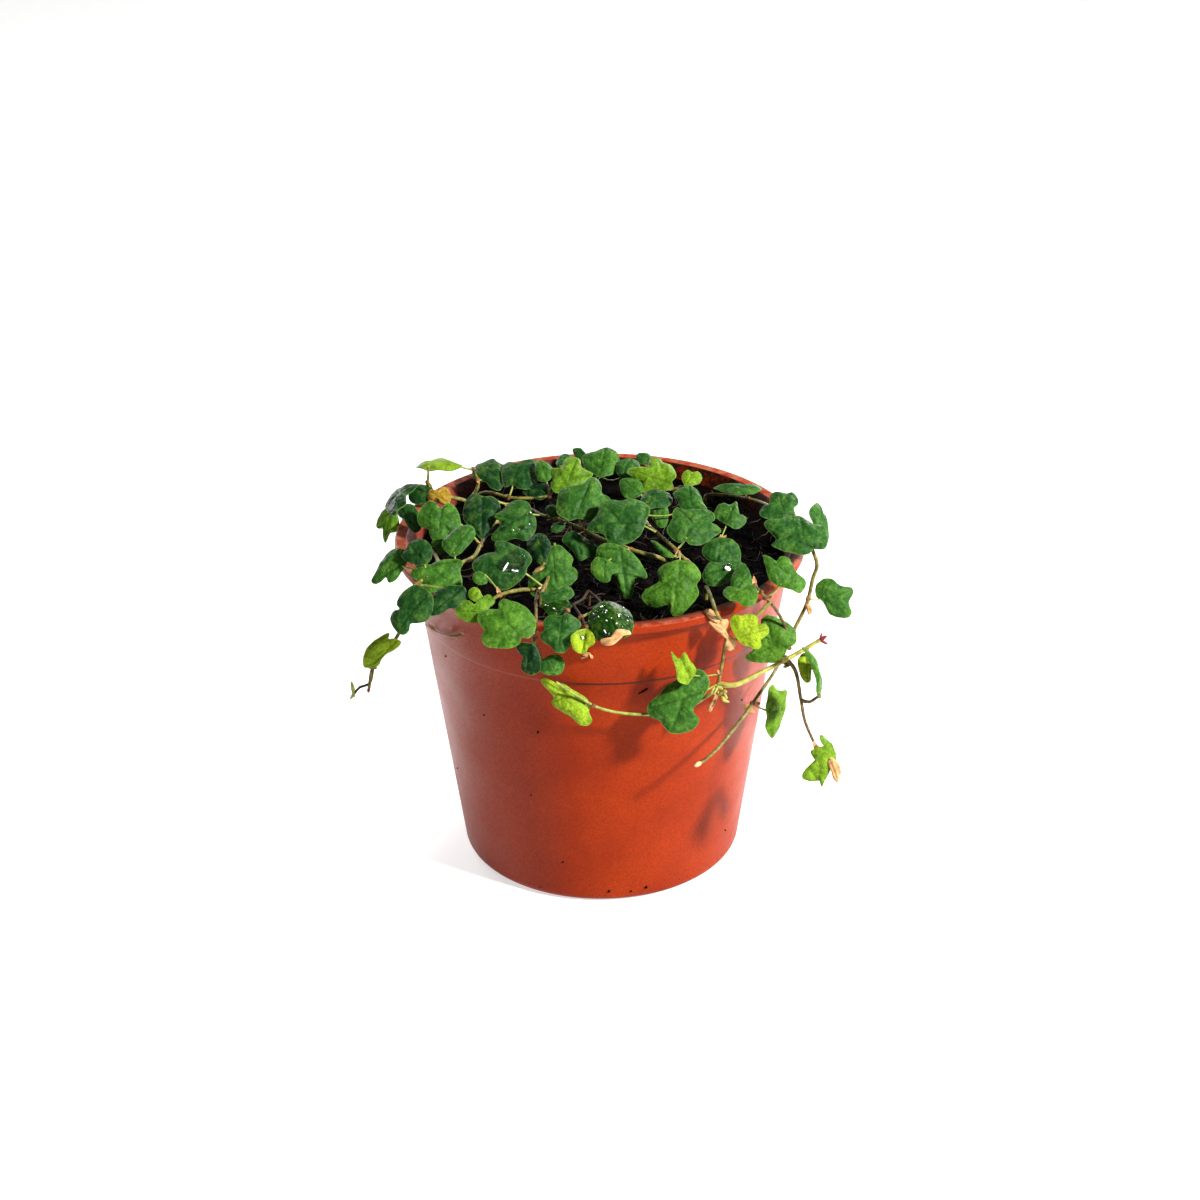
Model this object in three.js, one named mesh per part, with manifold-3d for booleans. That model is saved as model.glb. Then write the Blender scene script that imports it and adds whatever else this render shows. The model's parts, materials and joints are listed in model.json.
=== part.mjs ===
// A potted oakleaf creeping fig: a plastic nursery pot filled with soil, and eleven
// leafy runners that root in it. Millimetres, +Z up, origin under the middle of the pot.
import * as THREE from "three";
import { mergeVertices } from "three/addons/utils/BufferGeometryUtils.js";
import Module from "manifold-3d";

const wasm = await Module();
wasm.setup();

// Pot
const RIM_RADIUS = 60;
const POT_HEIGHT = 100.5;
const BASE_RADIUS = 41.6;
const BAND_HEIGHT = 79.1;
const BAND_RADIUS = 52.7;
const BAND_STEP = 0.5;
const FOOT_ROUND = 3;
const FOOT_STEPS = 3;
const WALL = 1.3;
const FLOOR = 1.8;
const LIP_DROP = 2.6;
const LIP_TOP_WIDTH = 3;
const LIP_ROUND = 0.7;
const POT_FACETS = 44;
const DRAIN_COUNT = 6;
const DRAIN_RADIUS = 4;
const DRAIN_RING = 25;
const DRAIN_FACETS = 12;

// Soil
const GAP = 0.3;
const SOIL_EDGE = 94;
const SOIL_CROWN = 95.2;
const SOIL_LUMP = 0.7;
const SOIL_RINGS = [16, 31, 43];
const SOIL_FACETS = 28;

// Runners and leaves
const STEM_RADIUS = 0.85;
const STEM_SIDES = 5;
const STEM_STEP = 6;
const ROOT_DEPTH = 8;
const ROOT_CLEAR = 0.5;
const HOLE_FACETS = 8;
const FIRST_CLIMB = 4;
const STALK_RADIUS = 0.45;
const STALK_SIDES = 3;
const STALK_STEPS = 2;
const STALK_SINK = 0.18;
const STALK_BOW = 0.15;
const BLADE_THICK = 0.7;
const DROOP_START = 0.42;

// Each place on the plant is a line of sight from this viewpoint and a height. The eye
// stands in front of the pot and looks along +Y, down at AIM; a sight is a pair of
// coordinates, across and down, in a square view of 1200 by 1200.
const AIM = new THREE.Vector3(-0.1, 0, 79);
const EYE_DISTANCE = 776.5;
const EYE_ELEVATION = 26.72;
const EYE_ROLL = -0.38;
const VIEW_FOCAL = 2621;
const VIEW_MIDDLE = 600;

const radians = THREE.MathUtils.degToRad;
const elevation = radians(EYE_ELEVATION);
const roll = radians(EYE_ROLL);
const ahead = new THREE.Vector3(0, Math.cos(elevation), -Math.sin(elevation));
const level = new THREE.Vector3(1, 0, 0);
const upward = new THREE.Vector3(0, Math.sin(elevation), Math.cos(elevation));
const eye = AIM.clone().addScaledVector(ahead, -EYE_DISTANCE);
const viewRight = level.clone().multiplyScalar(Math.cos(roll)).addScaledVector(upward, Math.sin(roll));
const viewUp = upward.clone().multiplyScalar(Math.cos(roll)).addScaledVector(level, -Math.sin(roll));

// The direction from the eye through a sight
function sightLine([across, down]) {
  return ahead
    .clone()
    .multiplyScalar(VIEW_FOCAL)
    .addScaledVector(viewRight, across - VIEW_MIDDLE)
    .addScaledVector(viewUp, VIEW_MIDDLE - down);
}

// The point of a sight at a height
function atHeight(sight, z) {
  const line = sightLine(sight);
  return eye.clone().addScaledVector(line, (z - eye.z) / line.z);
}

// The point of a sight on the plane through a point
function onPlane(sight, point, normal) {
  const line = sightLine(sight);
  const share = point.clone().sub(eye).dot(normal) / line.dot(normal);
  return eye.clone().addScaledVector(line, share);
}

// Blade outlines round from the tip, as places across and along the blade, in shares of
// its length: the stalk ends at 0, 0 and the tip is at 0, 1
const FORMS = {
  oak: [[0, 1], [0.16, 0.9], [0.2, 0.7], [0.46, 0.68], [0.5, 0.45], [0.42, 0.12], [0.16, -0.03],
    [0, 0.06], [-0.2, -0.04], [-0.46, 0.12], [-0.4, 0.4], [-0.52, 0.56], [-0.28, 0.68], [-0.17, 0.9]],
  ivy: [[0.02, 1], [0.2, 0.86], [0.26, 0.66], [0.48, 0.6], [0.46, 0.34], [0.36, 0.08], [0.14, -0.03],
    [0, 0.05], [-0.18, -0.04], [-0.42, 0.08], [-0.5, 0.34], [-0.42, 0.58], [-0.24, 0.68], [-0.16, 0.92]],
  husk: [[0, 1], [0.12, 0.7], [0.18, 0.4], [0.14, 0.12], [0, 0], [-0.14, 0.14], [-0.17, 0.42],
    [-0.1, 0.72]],
};

// A leaf is the sight of its stalk's end, the height there, and the sight of its tip. Its
// face leans up by so many degrees from level, and turns from the viewer to the right. It
// is so wide for its length; fold lifts its margins, droop lowers its tip. A rim is the
// leaf's own outline, as sights in its plane, in place of a form.
const LEAF = { lean: 55, turn: 0, wide: 1, form: "oak", fold: -0.08, droop: 0.16 };

// The runners: their routes as sights with heights, and their leaves. The first route roots
// in the soil straight under its first place, and each branch starts on another route.
const RUNNERS = [
  {
    name: "vine_back_left",
    routes: [
      [[468, 503, 98], [450, 497, 101.5], [430, 492, 103.5], [412, 490, 104.5], [399, 503, 103.5],
        [394, 511, 102]],
      [[468, 503, 98], [484, 493, 100.5], [512, 498, 102], [532, 498, 102.5], [549, 496, 103]],
      [[468, 503, 98], [478, 486, 103], [473, 469, 109]],
      [[428, 491.6, 103.6], [428, 480, 108], [428.5, 466, 113.5]],
    ],
    leaves: [
      {
        at: [485, 482], z: 105, to: [493, 457], lean: 72,
        rim: [[472, 471], [478, 462], [487, 458], [493, 456], [498, 460], [503, 464], [506, 472],
          [504, 481], [499, 489], [491, 487], [485, 481], [479, 480], [475, 478]],
      },
      {
        at: [513, 483], z: 105.5, to: [524, 458], lean: 68,
        rim: [[503, 463], [509, 459], [515, 461], [522, 459], [530, 457], [538, 459], [542, 466],
          [541, 475], [536, 480], [531, 487], [520, 488], [512, 483], [505, 486]],
      },
      {
        at: [547, 480], z: 107, to: [539, 458], lean: 60,
        rim: [[539, 459], [545, 461], [553, 468], [553, 475], [547, 481], [540, 480], [536, 474],
          [535, 464]],
      },
      {
        at: [549, 494], z: 103.5, to: [529, 484], lean: 72,
        rim: [[549, 494], [540, 498], [530, 496], [523, 490], [527, 484], [536, 482], [545, 481],
          [551, 487]],
      },
      {
        at: [461, 464], z: 112, to: [416, 463], lean: 132,
        rim: [[416, 463], [422, 460], [430, 457], [441, 453], [449, 456], [458, 462], [462, 465],
          [449, 467], [430, 467], [420, 465]],
      },
      {
        at: [417, 482], z: 107, to: [385, 505], lean: 62, turn: -118,
        rim: [[384, 505], [387, 497], [396, 487], [406, 483], [417, 481], [412, 488], [406, 492],
          [402, 498], [396, 501], [390, 506]],
      },
      {
        at: [433, 489], z: 106, to: [408, 498], lean: 60, turn: -20,
        rim: [[408, 494], [411, 486], [420, 483], [431, 487], [434, 492], [428, 499], [417, 503],
          [411, 501]],
      },
      {
        at: [450, 504], z: 104, to: [429, 491], lean: 54, turn: -12,
        rim: [[427, 494], [430, 488], [436, 490], [443, 486], [449, 490], [451, 498], [447, 504],
          [441, 502], [436, 499], [429, 499]],
      },
      {
        at: [392, 509], z: 103, to: [384, 542], lean: 22, turn: -20,
        rim: [[388, 507], [394, 508], [397, 516], [398, 524], [395, 532], [390, 533], [384, 543],
          [382, 537], [382, 529], [376, 528], [376, 521], [381, 512]],
      },
      {
        at: [399, 507], z: 107, to: [418, 530], lean: 35, turn: -20,
        rim: [[396, 507], [403, 504], [411, 504], [416, 510], [420, 519], [420, 528], [415, 532],
          [409, 528], [404, 520], [398, 515]],
      },
    ],
  },
  {
    name: "vine_left",
    routes: [
      [[502, 524, 98], [496, 522, 99.4], [482, 542, 99.8], [474, 556, 102.2], [463, 562, 103.8],
        [440, 572, 103.6], [422, 580, 103.4], [408, 592, 102], [400, 612, 93], [399, 633, 83.5],
        [387, 650, 79.5], [373, 667, 76], [369, 688, 70]],
      [[373, 667, 76], [369, 684, 71], [360, 687, 70], [354, 694, 68]],
      [[440, 572, 103.6], [436, 556, 104], [430, 549, 104.2]],
    ],
    leaves: [
      {
        at: [443, 506], z: 111, to: [437, 543], lean: 45,
        rim: [[441, 508], [446, 503], [453, 504], [457, 510], [460, 519], [459, 529], [453, 531],
          [449, 530], [446, 536], [441, 542], [434, 541], [430, 534], [428, 528], [421, 525], [417, 518],
          [420, 508], [427, 501], [434, 501]],
      },
      {
        at: [446, 539], z: 106.5, to: [434, 552], lean: 45,
        rim: [[432, 541], [440, 539], [447, 541], [446, 550], [441, 554], [435, 550]],
      },
      {
        at: [452, 555], z: 106.5, to: [471, 528], lean: 52,
        rim: [[453, 556], [444, 548], [442, 541], [448, 534], [455, 527], [463, 524], [471, 524],
          [475, 532], [472, 539], [466, 547], [460, 553]],
      },
      {
        at: [457, 561], z: 107.5, to: [411, 571], lean: 52,
        rim: [[438, 560], [450, 558], [458, 559], [463, 563], [460, 569], [462, 580], [461, 587],
          [453, 589], [443, 586], [437, 589], [430, 590], [423, 585], [419, 579], [411, 575], [411, 570],
          [424, 563], [430, 564]],
      },
      {
        at: [462, 589], z: 106, to: [437, 608], lean: 52,
        rim: [[434, 592], [445, 586], [456, 585], [464, 587], [467, 595], [465, 602], [457, 607],
          [448, 608], [440, 612], [431, 614], [427, 606]],
      },
      {
        at: [428, 594], z: 105.5, to: [397, 631], lean: 38, turn: -15,
        rim: [[416, 584], [407, 587], [400, 593], [396, 604], [399, 608], [392, 610], [389, 617],
          [391, 624], [396, 631], [402, 634], [407, 631], [409, 623], [417, 622], [425, 620], [431, 613],
          [433, 603], [430, 593]],
      },
      {
        at: [405, 563], z: 106, to: [371, 584], lean: 40, turn: -25,
        rim: [[370, 581], [373, 583], [380, 581], [386, 577], [388, 582], [395, 579], [400, 572],
          [406, 563], [409, 556], [403, 549], [395, 547], [388, 550], [380, 560], [376, 569]],
      },
      {
        at: [425, 563], z: 108, to: [405, 539], lean: 48, turn: -15,
        rim: [[405, 549], [411, 541], [418, 538], [426, 540], [431, 547], [431, 556], [426, 563],
          [415, 564], [406, 560], [401, 555]],
      },
      {
        at: [375, 663], z: 78.4, to: [397, 641], lean: 20, turn: -12, fold: 0.1,
        rim: [[364, 667], [365, 653], [371, 644], [380, 637], [389, 633], [388, 639], [394, 639],
          [400, 643], [398, 647], [385, 655], [380, 661], [379, 664], [376, 667], [370, 668]],
      },
    ],
  },
  {
    name: "vine_front_left",
    routes: [
      [[540, 590, 98.5], [536, 600, 101.5], [536, 610, 103], [536, 619, 103], [535, 631, 100.5],
        [536, 645, 96], [541, 657, 92], [546, 667, 89]],
      [[540, 590, 98.5], [520, 590, 101.5], [500, 595, 103], [486, 603, 103.4], [474, 606, 103.4]],
    ],
    leaves: [
      {
        at: [521, 637], z: 101, to: [490, 605], lean: 47,
        rim: [[498, 608], [499, 601], [504, 597], [513, 600], [522, 604], [530, 610], [536, 619],
          [535, 629], [529, 638], [522, 637], [519, 644], [512, 647], [494, 646], [485, 643], [481, 636],
          [484, 629], [480, 623], [477, 616], [482, 609], [490, 608]],
      },
      {
        at: [487, 612], z: 104.4, to: [456, 611], lean: 48,
        rim: [[455, 610], [459, 605], [463, 600], [469, 600], [475, 604], [480, 598], [486, 597],
          [490, 604], [486, 612], [480, 620], [473, 622], [460, 617]],
      },
      {
        at: [478, 589], z: 106.4, to: [476, 600], lean: 50,
        rim: [[469, 590], [475, 587], [480, 591], [481, 598], [476, 601], [470, 598]],
      },
      { at: [492, 597], z: 105.6, to: [481, 606], lean: 50, wide: 0.9, form: "ivy" },
      {
        at: [486, 573], z: 108, to: [474, 582], lean: 55,
        rim: [[473, 574], [480, 571], [486, 576], [487, 582], [480, 584], [474, 581]],
      },
      {
        at: [530, 645], z: 98, to: [526, 674], lean: 25, turn: -10,
        rim: [[516, 647], [520, 643], [527, 643], [534, 645], [538, 653], [540, 662], [539, 671],
          [532, 675], [525, 673], [521, 667], [523, 656], [518, 652]],
      },
      {
        at: [556, 672], z: 90.6, to: [547, 656], lean: 25,
        rim: [[540, 670], [540, 662], [545, 658], [551, 655], [558, 655], [564, 661], [564, 668],
          [560, 674], [551, 675], [544, 674]],
      },
    ],
  },
  {
    name: "vine_middle_left",
    routes: [
      [[552, 560, 98], [543, 566, 101], [534, 573, 103]],
      [[552, 560, 98], [549, 575, 100], [544, 588, 102], [541, 594, 103.6]],
      [[552, 560, 98], [556, 550, 102], [554, 543, 104]],
    ],
    leaves: [
      {
        at: [526, 570], z: 107, to: [473, 563], lean: 50,
        rim: [[495, 541], [503, 539], [512, 542], [521, 546], [529, 552], [532, 560], [527, 568],
          [525, 574], [517, 582], [507, 587], [498, 588], [492, 582], [484, 576], [476, 572], [472, 564],
          [476, 556], [486, 552], [495, 550]],
      },
      {
        at: [545, 566], z: 104, to: [538, 533], lean: 55, turn: -10,
        rim: [[527, 540], [532, 534], [542, 532], [548, 538], [551, 546], [548, 555], [545, 564],
          [538, 562], [533, 556], [528, 549]],
      },
      {
        at: [553, 546], z: 107, to: [555, 583], lean: 46,
        rim: [[552, 546], [560, 545], [568, 551], [573, 557], [571, 565], [575, 567], [578, 574],
          [573, 581], [565, 587], [555, 591], [546, 593], [537, 595], [530, 590], [528, 581], [532, 574],
          [540, 570], [542, 560], [546, 552]],
      },
      {
        at: [543, 597], z: 104.5, to: [577, 588], lean: 50,
        rim: [[541, 592], [555, 591], [569, 586], [574, 593], [570, 598], [560, 602], [548, 603],
          [542, 599]],
      },
    ],
  },
  {
    name: "vine_back",
    routes: [
      [[596, 492, 98], [600, 480, 101.5], [612, 469, 103.5], [632, 463, 104], [650, 460, 104]],
      [[596, 492, 98], [582, 485, 102], [566, 474, 103.6], [560, 466, 104]],
    ],
    leaves: [
      {
        at: [566, 489], z: 106, to: [578, 456], lean: 58,
        rim: [[553, 475], [552, 466], [561, 466], [564, 459], [568, 455], [575, 455], [580, 458],
          [581, 465], [587, 469], [593, 472], [587, 479], [579, 485], [570, 488], [562, 491], [554, 491],
          [551, 483]],
      },
      {
        at: [560, 467], z: 105.5, to: [566, 452], lean: 72,
        rim: [[556, 463], [559, 456], [565, 453], [571, 454], [573, 461], [566, 466], [560, 468]],
      },
      {
        at: [588, 457], z: 105, to: [573, 448], lean: 66,
        rim: [[573, 448], [579, 447], [584, 451], [588, 457], [581, 459], [575, 455]],
      },
      {
        at: [600, 476], z: 105.4, to: [606, 446], lean: 62,
        rim: [[583, 453], [592, 450], [601, 447], [608, 445], [615, 449], [619, 456], [619, 464],
          [614, 471], [607, 475], [600, 477], [592, 472], [585, 467], [583, 460]],
      },
      {
        at: [622, 478], z: 105.5, to: [630, 458], lean: 62,
        rim: [[617, 470], [618, 461], [623, 458], [630, 457], [637, 459], [640, 466], [636, 474],
          [627, 479], [620, 477]],
      },
      {
        at: [650, 463], z: 105.5, to: [637, 453], lean: 66,
        rim: [[636, 456], [640, 452], [647, 452], [651, 456], [650, 463], [641, 463]],
      },
    ],
  },
  {
    name: "vine_runner",
    routes: [
      [[664, 568, 98], [662, 559, 103], [638, 552, 104.8], [621, 546, 104.8], [604, 540, 104.4],
        [575, 526, 104.6], [556, 519, 105.4], [542, 515, 105], [531, 509.5, 104.4], [508, 505, 103.6],
        [490, 499, 103.2]],
    ],
    leaves: [
      {
        at: [483, 495], z: 110.2, to: [482, 533], lean: 56,
        rim: [[467, 497], [475, 493], [483, 496], [491, 495], [498, 499], [500, 507], [497, 516],
          [492, 525], [487, 533], [481, 537], [475, 531], [468, 524], [463, 515], [464, 504]],
      },
      {
        at: [531, 511], z: 109, to: [492, 535], lean: 48,
        rim: [[494, 514], [503, 508], [510, 501], [518, 499], [527, 501], [531, 507], [531, 512],
          [535, 516], [536, 523], [534, 531], [529, 538], [523, 539], [516, 537], [507, 539], [496, 539],
          [491, 537], [495, 530], [501, 523]],
      },
      {
        at: [576, 519], z: 109, to: [592, 476], lean: 48,
        rim: [[557, 498], [559, 490], [566, 485], [575, 484], [583, 482], [590, 476], [596, 476],
          [601, 483], [602, 492], [609, 496], [611, 503], [606, 510], [597, 516], [587, 520], [578, 518],
          [569, 520], [560, 515], [556, 507]],
      },
      {
        at: [577, 531], z: 106, to: [581, 559], lean: 50,
        rim: [[562, 539], [566, 533], [574, 531], [583, 536], [592, 541], [598, 547], [594, 555],
          [587, 556], [580, 560], [574, 552], [569, 546]],
      },
      {
        at: [621, 547], z: 107.5, to: [627, 598], lean: 38,
        rim: [[597, 547], [607, 542], [621, 546], [633, 553], [641, 563], [647, 577], [635, 577],
          [634, 588], [631, 597], [627, 599], [621, 594], [617, 583], [611, 574], [602, 567], [597, 557]],
      },
      {
        at: [605, 561], z: 105.5, to: [604, 581], lean: 45,
        rim: [[592, 562], [596, 557], [603, 558], [610, 561], [617, 565], [618, 571], [612, 574],
          [609, 581], [602, 581], [596, 577], [591, 570]],
      },
      {
        at: [559, 514], z: 106.5, to: [546, 506], lean: 60,
        rim: [[546, 507], [552, 504], [559, 507], [561, 513], [555, 517], [548, 514]],
      },
      {
        at: [563, 523], z: 106.5, to: [551, 530], lean: 50,
        rim: [[551, 530], [553, 524], [560, 522], [565, 525], [562, 530], [556, 532]],
      },
    ],
  },
  {
    name: "vine_centre_right",
    routes: [
      [[690, 564, 98], [683, 558, 102.5], [676, 550, 105], [657, 533, 106.5], [648, 525, 107],
        [644, 512, 105.5], [648, 497, 104], [664, 490, 104], [680, 488, 104.5]],
    ],
    leaves: [
      {
        at: [646, 523], z: 111, to: [590, 524], lean: 52,
        rim: [[601, 500], [610, 497], [620, 498], [630, 496], [641, 498], [648, 503], [650, 512],
          [646, 520], [644, 527], [640, 534], [632, 539], [624, 542], [617, 545], [611, 545], [607, 538],
          [604, 533], [594, 530], [587, 526], [592, 519], [598, 512]],
      },
      {
        at: [641, 494], z: 105.6, to: [622, 479], lean: 58,
        rim: [[620, 480], [625, 477], [633, 477], [640, 480], [643, 488], [640, 495], [632, 498],
          [625, 496], [621, 489]],
      },
      {
        at: [655, 505], z: 106.5, to: [660, 531], lean: 45,
        rim: [[656, 503], [663, 502], [668, 508], [668, 518], [666, 525], [660, 527], [655, 522],
          [651, 514]],
      },
      {
        at: [645, 505], z: 107.2, to: [664, 495], lean: 68,
        rim: [[641, 500], [644, 492], [652, 487], [663, 488], [670, 492], [672, 500], [665, 506],
          [655, 507], [646, 508]],
      },
      {
        at: [681, 561], z: 108.8, to: [673, 616], lean: 36,
        rim: [[658, 570], [664, 564], [673, 561], [684, 560], [693, 563], [699, 570], [701, 577],
          [697, 583], [699, 592], [693, 602], [685, 610], [678, 616], [672, 614], [668, 604], [658, 606],
          [647, 603], [642, 597], [645, 590], [653, 585], [660, 580], [658, 575]],
      },
      {
        at: [674, 556], z: 107, to: [652, 538], lean: 78,
        rim: [[651, 537], [655, 539], [660, 544], [667, 549], [673, 553], [674, 557], [667, 556],
          [659, 550], [654, 544]],
      },
      {
        at: [692, 508], z: 107.6, to: [689, 486], lean: 62,
        rim: [[673, 491], [680, 486], [688, 484], [695, 487], [700, 493], [703, 501], [707, 509],
          [697, 510], [687, 510], [680, 505], [678, 499]],
      },
      {
        at: [686, 541], z: 107.6, to: [694, 508], lean: 50,
        rim: [[684, 508], [697, 508], [708, 508], [714, 512], [715, 517], [711, 521], [718, 524],
          [721, 529], [714, 535], [707, 541], [699, 544], [690, 544], [685, 540], [679, 542], [671, 536],
          [667, 528], [672, 518], [673, 510], [677, 505]],
      },
      {
        at: [672, 484], z: 107, to: [627, 468], lean: 56,
        rim: [[627, 470], [630, 466], [640, 465], [648, 465], [650, 457], [658, 456], [663, 460],
          [671, 463], [676, 471], [676, 476], [672, 481], [673, 487], [667, 490], [655, 490], [645, 492],
          [641, 487], [643, 480], [635, 477]],
      },
      {
        at: [687, 484], z: 106.4, to: [695, 470], lean: 52,
        rim: [[682, 479], [683, 473], [688, 469], [692, 472], [698, 471], [702, 476], [700, 482],
          [693, 485], [686, 486]],
      },
    ],
  },
  {
    name: "vine_right",
    routes: [
      [[706, 496, 98], [724, 495, 98.6], [744, 498, 100], [762, 503, 102], [775, 510, 103.4],
        [786, 517, 103.8], [800, 534, 104], [812, 549, 103.6], [817, 565, 99], [813, 578, 94.5],
        [807, 603, 87.5], [794, 630, 80], [776, 669, 71], [757, 697, 66], [746, 713, 63.5],
        [718, 748, 58.5], [706, 759, 56.5], [700, 763, 56]],
    ],
    leaves: [
      {
        at: [748, 489], z: 103.5, to: [716, 485], lean: 88,
        rim: [[714, 485], [722, 483], [732, 482], [745, 482], [757, 483], [762, 488], [757, 491],
          [745, 493], [733, 492], [723, 489]],
      },
      {
        at: [785, 515], z: 106, to: [778, 490], lean: 55,
        rim: [[760, 511], [763, 505], [769, 503], [771, 493], [777, 491], [787, 492], [793, 490],
          [798, 497], [798, 503], [794, 507], [795, 514], [788, 518], [771, 518], [763, 516]],
      },
      {
        at: [812, 548], z: 106, to: [765, 523], lean: 52,
        rim: [[764, 521], [768, 518], [780, 518], [786, 515], [792, 513], [800, 513], [808, 518],
          [815, 522], [824, 524], [828, 533], [828, 541], [824, 548], [813, 548], [810, 552], [802, 554],
          [792, 551], [780, 548], [772, 543], [777, 538], [772, 532], [767, 527]],
      },
      {
        at: [824, 537], z: 104, to: [820, 503], lean: 30, turn: 55,
        rim: [[812, 512], [814, 506], [821, 502], [823, 510], [828, 515], [829, 524], [831, 537],
          [828, 541], [820, 536], [816, 524]],
      },
      {
        at: [823, 600], z: 87.5, to: [852, 590], lean: 28,
        rim: [[815, 590], [818, 583], [826, 578], [834, 580], [839, 585], [846, 587], [852, 588],
          [853, 594], [849, 602], [852, 613], [850, 617], [838, 617], [830, 614], [826, 607], [822, 601],
          [817, 597]],
      },
      {
        at: [768, 712], z: 63, to: [789, 709], lean: 14, turn: 48,
        rim: [[776, 685], [781, 691], [790, 691], [789, 699], [787, 711], [783, 724], [778, 737],
          [775, 739], [770, 732], [768, 720], [767, 708], [770, 696]],
      },
    ],
  },
  {
    name: "vine_right_inner",
    routes: [
      [[737, 563, 98], [745, 573, 101.5], [752, 582, 103], [760, 592, 102.8], [770, 602, 98.5],
        [780, 616, 92.5], [787, 632, 87], [789, 648, 82.5]],
      [[737, 563, 98], [728, 551, 101.5], [720, 540, 103.5]],
      [[770, 602, 98.5], [757, 616, 97], [745, 628, 95], [737, 640, 92]],
    ],
    leaves: [
      {
        at: [727, 523], z: 107.5, to: [736, 500], lean: 56,
        rim: [[726, 524], [720, 520], [714, 513], [716, 508], [720, 503], [725, 502], [728, 504],
          [733, 503], [736, 500], [738, 507], [740, 514], [746, 516], [746, 520], [742, 525], [737, 528]],
      },
      {
        at: [721, 539], z: 106, to: [717, 566], lean: 50,
        rim: [[702, 551], [706, 543], [714, 538], [723, 537], [732, 539], [739, 545], [741, 554],
          [739, 561], [729, 565], [718, 565], [711, 560], [705, 556]],
      },
      {
        at: [741, 566], z: 106, to: [704, 574], lean: 50,
        rim: [[711, 561], [706, 566], [703, 575], [708, 583], [717, 585], [726, 582], [734, 578],
          [742, 572], [742, 562], [730, 560], [720, 562]],
      },
      {
        at: [749, 574], z: 106.6, to: [731, 596], lean: 52,
        rim: [[731, 582], [733, 573], [738, 566], [743, 562], [748, 569], [751, 577], [752, 586],
          [747, 591], [738, 594], [732, 590]],
      },
      {
        at: [749, 587], z: 107, to: [728, 599], lean: 74,
        rim: [[723, 590], [729, 585], [740, 588], [750, 584], [757, 589], [757, 597], [752, 603],
          [744, 604], [738, 600], [729, 598]],
      },
      {
        at: [783, 587], z: 104, to: [769, 555], lean: 38,
        rim: [[764, 554], [770, 557], [777, 561], [781, 556], [788, 557], [792, 563], [796, 571],
          [805, 579], [806, 584], [800, 593], [793, 590], [783, 587], [777, 585], [770, 579], [766, 567]],
      },
      {
        at: [789, 649], z: 83, to: [750, 630], lean: 24,
        rim: [[762, 620], [766, 616], [773, 616], [780, 619], [789, 624], [795, 629], [797, 636],
          [795, 644], [787, 649], [785, 655], [781, 661], [774, 663], [763, 663], [753, 662], [746, 659],
          [747, 655], [752, 652], [756, 642], [761, 632]],
      },
      {
        at: [739, 637], z: 94.5, to: [769, 629], lean: 30,
        rim: [[731, 627], [731, 619], [735, 614], [741, 616], [747, 614], [755, 615], [758, 619],
          [758, 624], [765, 624], [769, 629], [767, 635], [761, 640], [761, 647], [757, 649], [748, 646],
          [740, 642], [735, 635]],
      },
    ],
  },
  {
    name: "vine_front_trail",
    routes: [
      [[706, 588, 97.5], [710, 595, 100], [713, 603, 103.4], [716, 612, 102.4], [721, 621, 98.5],
        [726, 633, 94], [724, 652, 88], [718, 684, 78.5], [716, 690, 76.5]],
      [[718, 684, 78.5], [734, 685, 79], [760, 673, 81], [787, 659, 83.5], [805, 649, 86],
        [820, 640, 88.5]],
      [[787, 659, 83.5], [795, 670, 80.5], [801, 700, 71], [805, 721, 65.5], [816, 747, 58.5]],
      [[801, 702, 70.5], [809, 702, 71], [819, 696, 73]],
      [[716, 690, 76.5], [690, 706, 72.5], [648, 714.5, 71.5], [601, 708.5, 74], [576, 695, 78.5],
        [556, 682, 83.5]],
    ],
    leaves: [
      {
        at: [709, 690], z: 79.6, to: [650, 709], lean: 22,
        rim: [[648, 708], [651, 702], [660, 695], [665, 688], [672, 683], [680, 679], [688, 673],
          [697, 670], [705, 673], [710, 680], [708, 689], [703, 697], [697, 704], [693, 710], [695, 715],
          [699, 719], [697, 726], [690, 732], [680, 734], [671, 734], [665, 729], [660, 721], [652, 718],
          [648, 713]],
      },
      {
        at: [690, 677], z: 84.5, to: [678, 654], lean: 16, turn: 25, fold: 0.2,
        rim: [[672, 652], [676, 657], [680, 659], [684, 652], [689, 660], [695, 669], [693, 677],
          [687, 684], [681, 683], [676, 680], [675, 670], [673, 661]],
      },
      {
        at: [591, 707], z: 74.6, to: [543, 681], lean: 24,
        rim: [[541, 681], [545, 679], [553, 682], [557, 685], [563, 684], [572, 690], [584, 697],
          [590, 705], [589, 713], [592, 721], [588, 726], [580, 725], [571, 717], [559, 710], [552, 703],
          [554, 698], [549, 691]],
      },
      {
        at: [806, 651], z: 84.5, to: [808, 683], lean: 20,
        rim: [[798, 661], [801, 655], [808, 653], [814, 657], [815, 664], [812, 668], [811, 675],
          [810, 682], [806, 683], [802, 678], [799, 669]],
      },
      {
        at: [820, 697], z: 73.5, to: [812, 653], lean: 8, turn: 75,
        rim: [[809, 647], [814, 651], [819, 661], [822, 674], [824, 687], [823, 696], [820, 697],
          [818, 688], [817, 676], [814, 665], [811, 656]],
      },
      {
        at: [817, 748], z: 59.5, to: [805, 777], lean: 20,
        rim: [[811, 751], [817, 748], [824, 746], [830, 742], [835, 750], [835, 759], [831, 768],
          [829, 774], [825, 782], [822, 788], [820, 782], [812, 782], [803, 779], [802, 776], [806, 769],
          [812, 763], [815, 760], [812, 755]],
      },
      {
        at: [825, 745], z: 58.5, to: [838, 768], lean: 20, turn: 70,
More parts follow.
